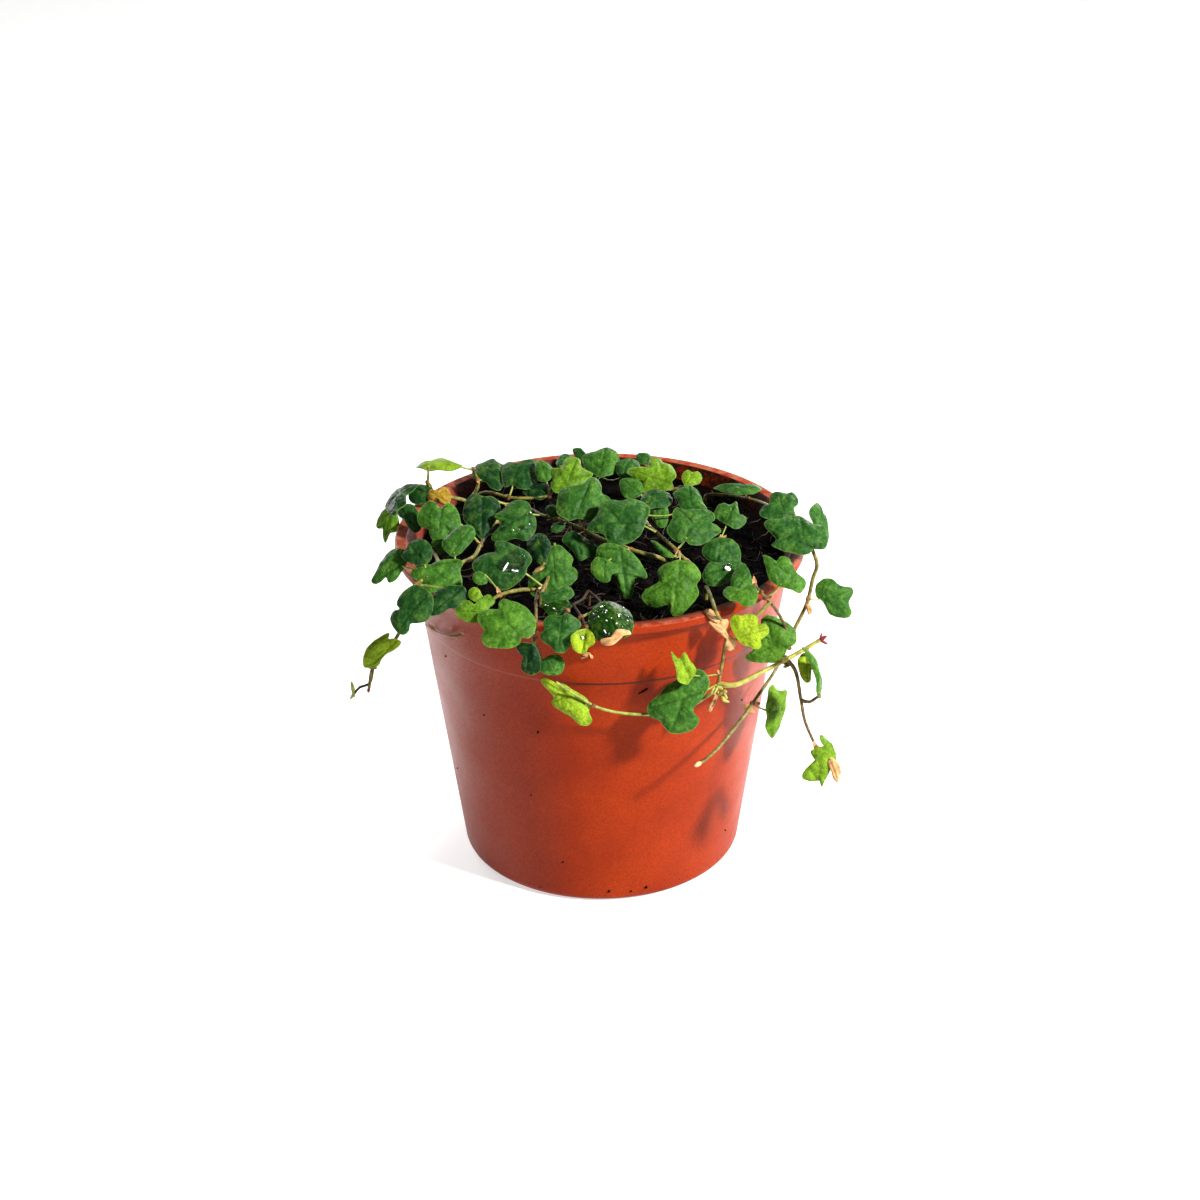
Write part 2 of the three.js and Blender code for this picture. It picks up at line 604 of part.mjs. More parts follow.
        rim: [[823, 734], [829, 740], [835, 748], [840, 755], [839, 761], [836, 763], [832, 758],
          [828, 750], [823, 743]],
      },
      { at: [720, 622], z: 99, to: [706, 614], lean: 30, wide: 0.9, form: "husk" },
      { at: [725, 633], z: 96, to: [709, 622], lean: 20, wide: 0.9, form: "husk" },
      { at: [725, 640], z: 92, to: [735, 650], lean: 20, wide: 0.9, form: "husk" },
      { at: [718, 692], z: 77.5, to: [711, 708], lean: 20, wide: 0.7, form: "husk" },
    ],
  },
  {
    name: "vine_front",
    routes: [
      [[589, 592, 98.5], [582, 600, 101.5], [573, 605, 103], [566, 612, 103.6], [561, 622, 103.4]],
      [[589, 592, 98.5], [597, 598, 101.5], [602, 604, 103.2]],
      [[573, 605, 103], [580, 615, 103.8], [586, 627, 103]],
    ],
    leaves: [
      {
        at: [563, 617], z: 105.5, to: [558, 651], lean: 34,
        rim: [[545, 619], [550, 615], [559, 616], [568, 614], [575, 617], [581, 624], [577, 631],
          [572, 638], [570, 645], [565, 652], [555, 651], [550, 645], [543, 641], [540, 635], [545, 629],
          [543, 624]],
      },
      {
        at: [586, 629], z: 103.4, to: [582, 652], lean: 26, fold: 0.25,
        rim: [[571, 636], [575, 632], [583, 629], [591, 631], [595, 638], [594, 644], [588, 648],
          [586, 653], [579, 653], [573, 648]],
      },
      {
        at: [602, 603], z: 107.5, to: [617, 631], lean: 68, fold: -0.2,
        rim: [[588, 617], [591, 608], [598, 603], [608, 600], [620, 600], [629, 606], [633, 615],
          [632, 624], [627, 631], [620, 630], [615, 634], [610, 639], [605, 635], [601, 630], [593, 624]],
      },
      {
        at: [558, 604], z: 104.8, to: [557, 617], lean: 60,
        rim: [[541, 603], [550, 601], [560, 600], [568, 600], [571, 606], [567, 613], [560, 617],
          [551, 616], [545, 609]],
      },
    ],
  },
];

// A closed geometry as a solid that can be joined and cut
function solidOf(geometry) {
  geometry.deleteAttribute("normal");
  geometry.deleteAttribute("uv");
  const merged = mergeVertices(geometry, 1e-4);
  const mesh = new wasm.Mesh({
    numProp: 3,
    vertProperties: merged.attributes.position.array,
    triVerts: new Uint32Array(merged.index.array),
  });
  return new wasm.Manifold(mesh);
}

// A solid as a named mesh
function meshOf(name, made, finish) {
  const { vertProperties, triVerts } = made.getMesh();
  const geometry = new THREE.BufferGeometry();
  geometry.setAttribute("position", new THREE.BufferAttribute(vertProperties, 3));
  geometry.setIndex(new THREE.BufferAttribute(triVerts, 1));
  geometry.computeVertexNormals();
  const mesh = new THREE.Mesh(geometry, new THREE.MeshStandardMaterial(finish));
  mesh.name = name;
  return mesh;
}

// A profile of radius and height pairs turned round the Z axis
function turned(profile, facets) {
  const points = profile.map(([radius, height]) => new THREE.Vector2(radius, height));
  return new THREE.LatheGeometry(points, facets).rotateX(Math.PI / 2);
}

// An upright cylinder round a place
function upright(radius, height, facets, place) {
  return solidOf(
    new THREE.CylinderGeometry(radius, radius, height, facets).rotateX(Math.PI / 2).translate(...place),
  );
}

// A thin rod along a curve
function rod(curve, radius, sides, steps) {
  const corners = Array.from({ length: sides }, (_, i) => {
    const angle = (2 * Math.PI * i) / sides;
    return new THREE.Vector2(radius * Math.cos(angle), radius * Math.sin(angle));
  });
  return solidOf(
    new THREE.ExtrudeGeometry(new THREE.Shape(corners), { extrudePath: curve, steps, bevelEnabled: false }),
  );
}

// Outer radius of the plain wall at a height
function wallRadius(z) {
  return BASE_RADIUS + ((BAND_RADIUS - BASE_RADIUS) * z) / BAND_HEIGHT;
}

// Nursery pot: a thin tapered shell with a rounded foot, a band that stands out a little
// all round its top, a rolled lip, and a ring of drain holes in its floor
function potSolid() {
  const foot = Array.from({ length: FOOT_STEPS + 1 }, (_, i) => {
    const angle = radians((90 * i) / FOOT_STEPS);
    const radius = wallRadius(FOOT_ROUND) - FOOT_ROUND + FOOT_ROUND * Math.sin(angle);
    return [radius, FOOT_ROUND - FOOT_ROUND * Math.cos(angle)];
  });
  const lipUnder = POT_HEIGHT - LIP_DROP;
  const bandTop = wallRadius(lipUnder) + BAND_STEP;
  const innerTop = RIM_RADIUS - LIP_ROUND - LIP_TOP_WIDTH;
  const shell = solidOf(
    turned(
      [
        [0, 0],
        ...foot,
        [BAND_RADIUS, BAND_HEIGHT],
        [BAND_RADIUS + BAND_STEP, BAND_HEIGHT + BAND_STEP],
        [bandTop, lipUnder],
        [RIM_RADIUS - LIP_ROUND, lipUnder],
        [RIM_RADIUS, lipUnder + LIP_ROUND],
        [RIM_RADIUS, POT_HEIGHT - LIP_ROUND],
        [RIM_RADIUS - LIP_ROUND, POT_HEIGHT],
        [innerTop, POT_HEIGHT],
        [bandTop - WALL, lipUnder],
        [BAND_RADIUS - WALL, BAND_HEIGHT],
        [wallRadius(FOOT_ROUND) - WALL, FOOT_ROUND],
        [wallRadius(FOOT_ROUND) - FOOT_ROUND, FLOOR],
        [0, FLOOR],
      ],
      POT_FACETS,
    ),
  );
  const drains = Array.from({ length: DRAIN_COUNT }, (_, i) => {
    const angle = (2 * Math.PI * i) / DRAIN_COUNT;
    return upright(DRAIN_RADIUS, 3 * FLOOR, DRAIN_FACETS, [
      DRAIN_RING * Math.cos(angle),
      DRAIN_RING * Math.sin(angle),
      0,
    ]);
  });
  return drains.reduce((pot, drain) => pot.subtract(drain), shell);
}

// Height of the lumps of the soil's top at a place
function lump(x, y) {
  return SOIL_LUMP * (Math.sin(0.33 * x + 1.1) * Math.cos(0.29 * y) + 0.5 * Math.sin(0.61 * y - 0.47 * x));
}

// Soil: fills the pot up to a lumpy top, with a plain hole for each root
function soilSolid(roots) {
  const edge = wallRadius(SOIL_EDGE) - WALL - GAP;
  const fall = (SOIL_CROWN - SOIL_EDGE) / edge;
  const soil = turned(
    [
      [0, FLOOR + GAP],
      [wallRadius(FOOT_ROUND) - FOOT_ROUND - GAP, FLOOR + GAP],
      [wallRadius(FOOT_ROUND) - WALL - GAP, FOOT_ROUND + GAP],
      [BAND_RADIUS - WALL - GAP, BAND_HEIGHT],
      [edge, SOIL_EDGE],
      ...SOIL_RINGS.toReversed().map((radius) => [radius, SOIL_CROWN - fall * radius]),
      [0, SOIL_CROWN],
    ],
    SOIL_FACETS,
  );
  const place = soil.attributes.position;
  for (let i = 0; i < place.count; i += 1) {
    const [x, y, z] = [place.getX(i), place.getY(i), place.getZ(i)];
    if (z > SOIL_EDGE) place.setZ(i, z + lump(x, y));
  }
  const holes = roots.map((root) =>
    upright(STEM_RADIUS + ROOT_CLEAR, 2 * ROOT_DEPTH, HOLE_FACETS, [root.x, root.y, SOIL_CROWN]),
  );
  return holes.reduce((left, hole) => left.subtract(hole), solidOf(soil));
}

// The outline of a blade, clockwise from above, across and along it in shares of its length
function outlineOf(leaf, stalkEnd, side, axis, normal, length) {
  if (!leaf.rim) {
    return FORMS[leaf.form].map(([across, along]) => new THREE.Vector2(across * leaf.wide, along));
  }
  const rim = leaf.rim.map((sight) => {
    const away = onPlane(sight, stalkEnd, normal).sub(stalkEnd);
    return new THREE.Vector2(away.dot(side) / length, away.dot(axis) / length);
  });
  return THREE.ShapeUtils.area(rim) > 0 ? rim.toReversed() : rim;
}

// One blade: its outline round a middle point, raised by fold and droop, with a face and
// a back that are split alike
function bladeSolid(leaf, stalkEnd, tip, normal) {
  const length = tip.distanceTo(stalkEnd);
  const axis = tip.clone().sub(stalkEnd).normalize();
  const side = axis.clone().cross(normal);
  const rim = outlineOf(leaf, stalkEnd, side, axis, normal, length);
  const middle = rim.reduce((sum, point) => sum.add(point), new THREE.Vector2()).divideScalar(rim.length);
  const points = [middle, ...rim];
  const corners = [-0.5, 0.5].flatMap((half) =>
    points.flatMap(({ x: across, y: along }) => {
      const drop = leaf.droop * Math.max(0, along - DROOP_START) ** 2;
      const height = length * (2 * leaf.fold * Math.abs(across) - drop) + half * BLADE_THICK;
      return stalkEnd
        .clone()
        .addScaledVector(side, across * length)
        .addScaledVector(axis, along * length)
        .addScaledVector(normal, height)
        .toArray();
    }),
  );
  const faces = rim.flatMap((_, i) => {
    const here = 1 + i;
    const next = 1 + ((i + 1) % rim.length);
    const top = points.length;
    return [
      [0, here, next],
      [top, top + next, top + here],
      [here, top + here, top + next],
      [here, top + next, next],
    ].flat();
  });
  const geometry = new THREE.BufferGeometry();
  geometry.setAttribute("position", new THREE.Float32BufferAttribute(corners, 3));
  geometry.setIndex(faces);
  return solidOf(geometry);
}

// The point of a list that is nearest to a place
function nearest(points, place) {
  return points.reduce((best, point) => (point.distanceTo(place) < best.distanceTo(place) ? point : best));
}

// One leaf: its blade and the stalk that carries it from the nearest point of the runner
function leafSolid(row, spine) {
  const leaf = { ...LEAF, ...row };
  const [lean, turn] = [radians(leaf.lean), radians(leaf.turn)];
  const normal = new THREE.Vector3(
    Math.cos(lean) * Math.sin(turn),
    -Math.cos(lean) * Math.cos(turn),
    Math.sin(lean),
  );
  const stalkEnd = atHeight(leaf.at, leaf.z);
  const tip = onPlane(leaf.to, stalkEnd, normal);
  const foot = nearest(spine, stalkEnd);
  const end = stalkEnd.clone().lerp(tip, STALK_SINK);
  const bow = tip.clone().sub(stalkEnd).normalize().add(normal);
  bow.multiplyScalar(-STALK_BOW * foot.distanceTo(end));
  const knee = foot.clone().lerp(end, 0.6).add(bow);
  const stalk = rod(new THREE.QuadraticBezierCurve3(foot, knee, end), STALK_RADIUS, STALK_SIDES, STALK_STEPS);
  return stalk.add(bladeSolid(leaf, stalkEnd, tip, normal));
}

// The foot of a runner: straight down from its first place into its hole in the soil
function rootOf(runner) {
  const [across, down, z] = runner.routes[0][0];
  const top = atHeight([across, down], z);
  return [top.clone().setZ(SOIL_CROWN - ROOT_DEPTH + GAP), top.clone().setZ(z - FIRST_CLIMB)];
}

// One runner: its root, routes and leaves in one solid
function runnerSolid(runner) {
  const spine = [];
  const stems = runner.routes.map((route, i) => {
    const [first, ...rest] = route.map(([across, down, z]) => atHeight([across, down], z));
    const start = i === 0 ? [...rootOf(runner), first] : [nearest(spine, first)];
    const curve = new THREE.CatmullRomCurve3([...start, ...rest]);
    const steps = Math.ceil(curve.getLength() / STEM_STEP);
    const knots = curve.getSpacedPoints(steps);
    const free = i === 0 ? knots.slice(knots.findIndex((knot) => knot.z > SOIL_CROWN)) : knots;
    free.slice(1).forEach((knot, k) => {
      spine.push(...[0, 1 / 3, 2 / 3, 1].map((share) => free[k].clone().lerp(knot, share)));
    });
    return rod(curve, STEM_RADIUS, STEM_SIDES, steps);
  });
  const leaves = runner.leaves.map((row) => leafSolid(row, spine));
  return [...stems, ...leaves].reduce((whole, piece) => whole.add(piece));
}

const plant = new THREE.Group();
plant.add(meshOf("pot", potSolid(), { color: 0xb5482c, roughness: 0.42, metalness: 0 }));
const roots = RUNNERS.map((runner) => rootOf(runner)[0]);
plant.add(meshOf("soil", soilSolid(roots), { color: 0x1d1714, roughness: 0.95, metalness: 0 }));
for (const runner of RUNNERS) {
  plant.add(meshOf(runner.name, runnerSolid(runner), { color: 0x3f7a35, roughness: 0.5, metalness: 0 }));
}

export default plant;
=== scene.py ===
# %% [markdown]
# # A potted oakleaf creeping fig
# A creeping fig is a small trailing plant. Its thin runners root in the soil, cross it and
# hang over the rim of the pot, and carry lobed leaves of ten to twenty millimetres on short
# stalks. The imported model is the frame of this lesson: it has the pot, the soil and eleven
# runners at their real places and sizes. Each step here takes one of them and gives it the
# shape and the finish that the eye expects.

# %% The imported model
import json
import math
import random
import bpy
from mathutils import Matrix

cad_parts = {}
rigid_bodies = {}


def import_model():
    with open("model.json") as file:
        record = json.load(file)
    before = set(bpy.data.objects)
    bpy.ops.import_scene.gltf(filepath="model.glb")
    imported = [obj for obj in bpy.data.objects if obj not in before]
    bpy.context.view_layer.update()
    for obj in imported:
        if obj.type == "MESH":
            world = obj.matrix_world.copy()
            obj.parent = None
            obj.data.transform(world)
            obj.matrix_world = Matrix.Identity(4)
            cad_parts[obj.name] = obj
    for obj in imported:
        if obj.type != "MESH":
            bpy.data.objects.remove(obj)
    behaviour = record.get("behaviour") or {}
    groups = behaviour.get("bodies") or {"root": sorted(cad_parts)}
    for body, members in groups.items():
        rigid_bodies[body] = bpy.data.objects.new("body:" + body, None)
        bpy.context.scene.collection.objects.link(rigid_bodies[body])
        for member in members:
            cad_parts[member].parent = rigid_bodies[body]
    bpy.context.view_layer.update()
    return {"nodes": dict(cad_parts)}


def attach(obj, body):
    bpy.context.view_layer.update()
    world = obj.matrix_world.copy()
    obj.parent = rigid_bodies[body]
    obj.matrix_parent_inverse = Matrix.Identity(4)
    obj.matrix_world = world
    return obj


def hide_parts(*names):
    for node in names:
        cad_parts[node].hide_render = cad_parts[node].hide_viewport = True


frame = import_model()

from types import SimpleNamespace as Row

import bpy
from mathutils import Matrix, Quaternion, Vector, noise

print("packed nodes:", sorted(frame["nodes"]))

# %% [markdown]
# ## Where things are
# The runners wander freely, so no simple rule gives their places. They are noted the way a
# botanical artist notes them: each place is a line of sight from one viewpoint and a height.
# A line of sight alone says where a thing appears, and the height fixes its depth, so the
# plant also holds together when it is seen from the side.

# %% The viewpoint and its lines of sight
MM = 0.001
AIM = Vector((-0.1, 0, 79)) * MM
EYE_DISTANCE = 776.5 * MM
EYE_ELEVATION = math.radians(26.72)
EYE_ROLL = math.radians(-0.38)
VIEW_SIZE = 1200
VIEW_FOCAL = 2621
VIEW_MIDDLE = VIEW_SIZE / 2
SENSOR_WIDTH = 36

AHEAD = Vector((0, math.cos(EYE_ELEVATION), -math.sin(EYE_ELEVATION)))
LEVEL = Vector((1, 0, 0))
UPWARD = Vector((0, math.sin(EYE_ELEVATION), math.cos(EYE_ELEVATION)))
VIEW_RIGHT = LEVEL * math.cos(EYE_ROLL) + UPWARD * math.sin(EYE_ROLL)
VIEW_UP = UPWARD * math.cos(EYE_ROLL) - LEVEL * math.sin(EYE_ROLL)
EYE = AIM - AHEAD * EYE_DISTANCE


def sight_line(sight):
    """The direction from the eye through a sight, which is (across, down) in the square view."""
    across, down = sight
    return AHEAD * VIEW_FOCAL + VIEW_RIGHT * (across - VIEW_MIDDLE) + VIEW_UP * (VIEW_MIDDLE - down)


def at_height(sight, z):
    """The point of a sight at a height in millimetres."""
    line = sight_line(sight)
    return EYE + line * ((z * MM - EYE.z) / line.z)


def on_plane(sight, point, normal):
    """The point of a sight on the plane through a point."""
    line = sight_line(sight)
    return EYE + line * ((point - EYE).dot(normal) / line.dot(normal))


print("eye at", [round(c, 4) for c in EYE])

# %% [markdown]
# ## The camera
# The camera stands at that viewpoint, a little above the pot. Its lens follows from the
# focal length in view units and the width of the sensor. Its own axes are the view's right,
# the view's up and the direction backwards, so its turn is written directly as a matrix.

# %% Set up the camera
bpy.ops.object.camera_add(location=EYE)
camera = bpy.context.object
camera.name = "camera"
camera.data.sensor_width = SENSOR_WIDTH
camera.data.lens = VIEW_FOCAL / VIEW_SIZE * SENSOR_WIDTH
camera.data.clip_start = 0.02
turn = Matrix((VIEW_RIGHT, VIEW_UP, -AHEAD)).transposed()
camera.matrix_world = Matrix.Translation(EYE) @ turn.to_4x4()
bpy.context.scene.camera = camera
print("lens", round(camera.data.lens, 2), "mm")

# %% [markdown]
# ## Helpers for shapes
# An operator acts on everything that is selected, so each step first deselects all and then
# selects its own object. A finished piece keeps its place in its mesh and its object at the
# origin, and it rides on the one body that this part has.

# %% Add, copy, join and hand over pieces


def select_only(*objects):
    """Selects these objects and makes the first one active."""
    bpy.ops.object.select_all(action="DESELECT")
    for item in objects:
        item.select_set(True)
    bpy.context.view_layer.objects.active = objects[0]


def added(operator, **settings):
    """What an adding operator makes while nothing else is selected."""
    bpy.ops.object.select_all(action="DESELECT")
    operator(**settings)
    return bpy.context.object


def copy_of(item):
    """A copy of an object, with a mesh of its own."""
    select_only(item)
    bpy.ops.object.duplicate()
    return bpy.context.object


def finished(item, *finishes):
    """An object with these finishes and no others."""
    item.data.materials.clear()
    for finish in finishes:
        item.data.materials.append(finish.material)
    return item


def joined(pieces, *finishes):
    """Some objects as one, with these finishes."""
    select_only(*pieces)
    if len(pieces) > 1:
        bpy.ops.object.join()
    return finished(bpy.context.object, *finishes)


def hand_over(item, name, slot, *nodes):
    """Names a finished piece, puts it on the frame's body and hides the nodes that it stands for."""
    item.name = name
    item.data.name = name
    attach(item, "root")
    if nodes:
        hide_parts(*nodes)
    print(name, len(item.data.polygons), "faces")


def outward():
    """Merges doubled points and turns all faces outwards, in edit mode."""
    bpy.ops.mesh.select_all(action="SELECT")
    bpy.ops.mesh.remove_doubles(threshold=0.00001)
    bpy.ops.mesh.normals_make_consistent(inside=False)


# %% [markdown]
# ## Helpers for finishes
# Colours are noted as they look on a screen, in sRGB hex values, and one function turns them
# into the linear values that a shader needs. A finish is a material in the making: each of
# its methods adds one node, so a finish reads as a list of what it is made of.

# %% Colours and nodes


def linear(code):
    """The linear colour of an sRGB hex value."""
    channels = [int(code[i : i + 2], 16) / 255 for i in (1, 3, 5)]
    return [c / 12.92 if c <= 0.04045 else ((c + 0.055) / 1.055) ** 2.4 for c in channels] + [1.0]


class Finish:
    """A material with one surface shader. A value in it is a number, a hex colour or an output."""

    def __init__(self, name):
        self.material = bpy.data.materials.new(name)
        self.material.use_nodes = True
        self.material.node_tree.nodes.clear()
        self.surface = self.node("BsdfPrincipled")
        self.node("OutputMaterial", {"Surface": self.surface.outputs["BSDF"]})

    def put(self, target, value):
        """Puts a value into an input."""
        if isinstance(value, bpy.types.NodeSocket):
            self.material.node_tree.links.new(value, target)
        else:
            target.default_value = linear(value) if isinstance(value, str) else value

    def node(self, kind, values=None, **properties):
        """A new node, with values for its inputs by name or number."""
        made = self.material.node_tree.nodes.new("ShaderNode" + kind)
        for name, value in properties.items():
            setattr(made, name, value)
        inputs = {socket.name: socket for socket in reversed(made.inputs) if socket.enabled}
        for name, value in (values or {}).items():
            self.put(made.inputs[name] if isinstance(name, int) else inputs[name], value)
        return made

    def wear(self, values):
        """Puts values into inputs of the surface shader."""
        for name, value in values.items():
            self.put(self.surface.inputs[name], value)

    def place(self):
        """The place of a point in the object's coordinates."""
        return self.node("TexCoord").outputs["Object"]

    def attribute(self, name):
        """The number that a mesh carries under a name."""
        return self.node("Attribute", attribute_name=name).outputs["Fac"]

    def mix(self, factor, first, second, blend_type="MIX"):
        """A mix of two colours."""
        values = {0: factor, 6: first, 7: second}
        return self.node("Mix", values, data_type="RGBA", blend_type=blend_type).outputs[2]

    def times(self, first, second):
        """The product of two numbers."""
        return self.node("Math", {0: first, 1: second}, operation="MULTIPLY").outputs["Value"]

    def spread(self, value, low, high, new_low=0.0, new_high=1.0):
        """A number with its range from low to high stretched to a new range."""
        limits = {"From Min": low, "From Max": high, "To Min": new_low, "To Max": new_high}
        return self.node("MapRange", {**limits, "Value": value}).outputs["Result"]

    def noise(self, size_mm, detail, roughness=0.5, spread=None):
        """Cloudy noise whose lumps are about so many millimetres across."""
        values = {"Scale": 1 / (size_mm * MM), "Detail": detail, "Roughness": roughness}
        clouds = self.node("TexNoise", {**values, "Vector": self.place()}).outputs["Fac"]
        return self.spread(clouds, *spread) if spread else clouds

    def ramp(self, value, stops):
        """The colour that a number picks between stops, each a place and a colour."""
        made = self.node("ValToRGB", {"Fac": value})
        elements = made.color_ramp.elements
        while len(elements) < len(stops):
            elements.new(1.0)
        for element, (place, colour) in zip(elements, stops):
            element.position = place
            element.color = linear(colour)
        return made.outputs["Color"]

    def bump(self, height, depth_mm, strength=1.0):
        """Raises the surface by a height map of so many millimetres."""
        values = {"Strength": strength, "Distance": depth_mm * MM, "Height": height}
        self.wear({"Normal": self.node("Bump", values).outputs["Normal"]})


print("helpers ready")

# %% [markdown]
# ## Pot
# The real pot is a thermoformed or injection-moulded nursery pot: a thin tapered wall, a
# plain band below the rim that stands out half a millimetre, and a small rolled lip. Such a
# round body is one profile turned about the axis, so a closed chain of points is spun. The
# profile starts on the axis, goes out under the floor, up the outside, over the lip and back
# down the inside, which gives the wall its real thickness all the way.

# %% Sizes of the pot and the soil, in millimetres
RIM_RADIUS = 60
POT_HEIGHT = 100.5
BASE_RADIUS = 41.6
BAND_HEIGHT = 79.1
BAND_RADIUS = 52.7
BAND_STEP = 0.5
FOOT_ROUND = 3
WALL = 1.3
FLOOR = 1.8
LIP_DROP = 2.6
LIP_TOP_WIDTH = 3
LIP_ROUND = 0.7
DRAIN_COUNT = 6
DRAIN_RADIUS = 4
DRAIN_RING = 25
GAP = 0.3
SOIL_EDGE = 94
SOIL_CROWN = 95.2
POT_STEPS = 144


def wall_radius(z):
    """Outer radius of the plain wall at a height, both in millimetres."""
    return BASE_RADIUS + (BAND_RADIUS - BASE_RADIUS) * z / BAND_HEIGHT


def arc(centre, radius, start, end, steps):
    """Points of an arc in the profile's plane, from one angle to another in degrees."""
    angles = [math.radians(start + (end - start) * i / steps) for i in range(steps + 1)]
    return [(centre[0] + radius * math.cos(a), centre[1] + radius * math.sin(a)) for a in angles]


lip_under = POT_HEIGHT - LIP_DROP
band_top = wall_radius(lip_under) + BAND_STEP
inner_top = RIM_RADIUS - LIP_ROUND - LIP_TOP_WIDTH
foot_inside = wall_radius(FOOT_ROUND) - FOOT_ROUND
pot_profile = [
    (0, 0),
    *arc((foot_inside, FOOT_ROUND), FOOT_ROUND, -90, 0, 8),
    *[(wall_radius(z), z) for z in (12, 26, 40, 54, 68)],
    (BAND_RADIUS, BAND_HEIGHT - 0.25),
    (BAND_RADIUS + 0.08, BAND_HEIGHT),
    (BAND_RADIUS + BAND_STEP - 0.08, BAND_HEIGHT + 0.42),
    (BAND_RADIUS + BAND_STEP, BAND_HEIGHT + 0.7),
    *[(wall_radius(z) + BAND_STEP, z) for z in (85, 91)],
    (band_top, lip_under - 0.5),
    (band_top + 0.5, lip_under),
    *arc((RIM_RADIUS - LIP_ROUND, lip_under + LIP_ROUND), LIP_ROUND, -90, 0, 4),
    *arc((RIM_RADIUS - LIP_ROUND, POT_HEIGHT - LIP_ROUND), LIP_ROUND, 0, 90, 5),
    *arc((inner_top + LIP_ROUND, POT_HEIGHT - LIP_ROUND), LIP_ROUND, 90, 160, 4),
    (band_top - WALL, lip_under),
    (BAND_RADIUS - WALL, BAND_HEIGHT),
    (wall_radius(FOOT_ROUND) - WALL, FOOT_ROUND + 1),
    (foot_inside, FLOOR),
    (0, FLOOR),
]
print(len(pot_profile), "profile points")

# %% [markdown]
# A mesh circle without a face is a closed chain of points, so it makes a good blank for the
# profile. Its points are put on the profile, the edge along the axis is left out, and the
# spin operator turns the chain once round. The first and last row then lie on each other,
# and merging them closes the wall.

# %% Spin a profile


def spun(profile, steps):
    """A closed round body from a profile of (radius, height) in millimetres."""
    circle = {"vertices": len(profile), "radius": 1, "fill_type": "NOTHING"}
    body = added(bpy.ops.mesh.primitive_circle_add, **circle)
    for vertex, (radius, height) in zip(body.data.vertices, profile):
        vertex.co = (radius * MM, 0, height * MM)
    bpy.ops.object.mode_set(mode="EDIT")
    bpy.ops.mesh.select_mode(type="EDGE")
    bpy.ops.object.mode_set(mode="OBJECT")
    for edge in body.data.edges:
        edge.select = set(edge.vertices) == {0, len(profile) - 1}
    bpy.ops.object.mode_set(mode="EDIT")
    bpy.ops.mesh.delete(type="EDGE")
    bpy.ops.mesh.select_mode(type="VERT")
    bpy.ops.mesh.select_all(action="SELECT")
    bpy.ops.mesh.spin(steps=steps, angle=math.tau, center=(0, 0, 0), axis=(0, 0, 1))
    outward()
    bpy.ops.object.mode_set(mode="OBJECT")
    return body


pot = spun(pot_profile, POT_STEPS)
select_only(pot)
bpy.ops.object.shade_smooth_by_angle(angle=math.radians(50))
print("pot has", len(pot.data.vertices), "points")

# %% [markdown]
# The floor of such a pot has a ring of drain holes. They are cut with one boolean modifier
# for each hole, from a cylinder that goes right through the floor.

# %% Cut the drain holes
for i in range(DRAIN_COUNT):
    angle = math.tau * i / DRAIN_COUNT
    place = [DRAIN_RING * MM * math.cos(angle), DRAIN_RING * MM * math.sin(angle), 0]
    size = {"vertices": 32, "radius": DRAIN_RADIUS * MM, "depth": 4 * FLOOR * MM}
    drill = added(bpy.ops.mesh.primitive_cylinder_add, location=place, **size)
    select_only(pot)
    cut = pot.modifiers.new("drain", "BOOLEAN")
    cut.operation = "DIFFERENCE"
    cut.object = drill
    bpy.ops.object.modifier_apply(modifier=cut.name)
    bpy.data.objects.remove(drill)
print("pot has", len(pot.data.polygons), "faces after the holes")

# %% [markdown]
# ### Moulded polypropylene
# The pot is terracotta-coloured polypropylene, moulded against a polished tool. Its colour
# flows unevenly. Over it lie, one after the other, a paler painted sheen at the left that
# stands in for a reflection, a fine speckle, a pale top on the lip that is partly wear and
# partly a painted highlight, dirt where the pot stands, a line at the step under the band
# that is painted shade in front and a painted highlight at the left, and peat with painted
# shade. Peat is smeared on the inside above the soil and on the inner edge of the lip, which
# is broader in front, and its dark also stands for the shade inside the pot, so it is weaker
# on the lit left side; each point of the pot carries how dark it is there. Finger smudges
# change the weak gloss, and the bumps of the moulding are very low.

# %% Note where the wall gets peat and painted shade
SMEAR_SHADE_DEPTH = 20
SMEAR_SHADE_LEFT = -44
smeared_and_shaded = pot.data.attributes.new("smeared_and_shaded", "FLOAT", "POINT")
for i, vertex in enumerate(pot.data.vertices):
    x, y, z = [c / MM for c in vertex.co]
    inner = wall_radius(z) + BAND_STEP - 0.6
    if z > lip_under + 0.2:
        inner = inner_top + (0.75 if y < 0 else 0.3)
    # The inside is painted darker as shade, less so on the lit left side.
    share = 0.35 if x < SMEAR_SHADE_LEFT else 1.0
    inside = math.hypot(x, y) < inner
    smeared_and_shaded.data[i].value = share if inside and z > SOIL_EDGE - SMEAR_SHADE_DEPTH else 0.0
print("soiled points:", sum(value.value > 0 for value in smeared_and_shaded.data))

# %% Pot finish
plastic = Finish("moulded polypropylene")
axes = plastic.node("SeparateXYZ", {"Vector": plastic.place()}).outputs
# Painted sheen: the left side is paler, standing in for the reflection of a bright room there.
painted_left_sheen = plastic.times(
    plastic.spread(axes["X"], -8 * MM, -42 * MM), plastic.noise(9, 4, 0.6, (0.3, 0.6, 0.7, 1.0))
)
# The pale top of the lip: partly wear, partly a painted highlight.
worn_and_highlit = plastic.times(
    plastic.spread(axes["Z"], (POT_HEIGHT - 0.5) * MM, (POT_HEIGHT - 0.05) * MM),
    plastic.noise(2.5, 4, 0.6, (0.4, 0.6, 0.0, 0.5)),
)
dirt = plastic.times(
    plastic.spread(axes["Z"], 9 * MM, 0.5 * MM), plastic.noise(1.6, 3, 0.6, (0.62, 0.68, 0.0, 0.85))
)
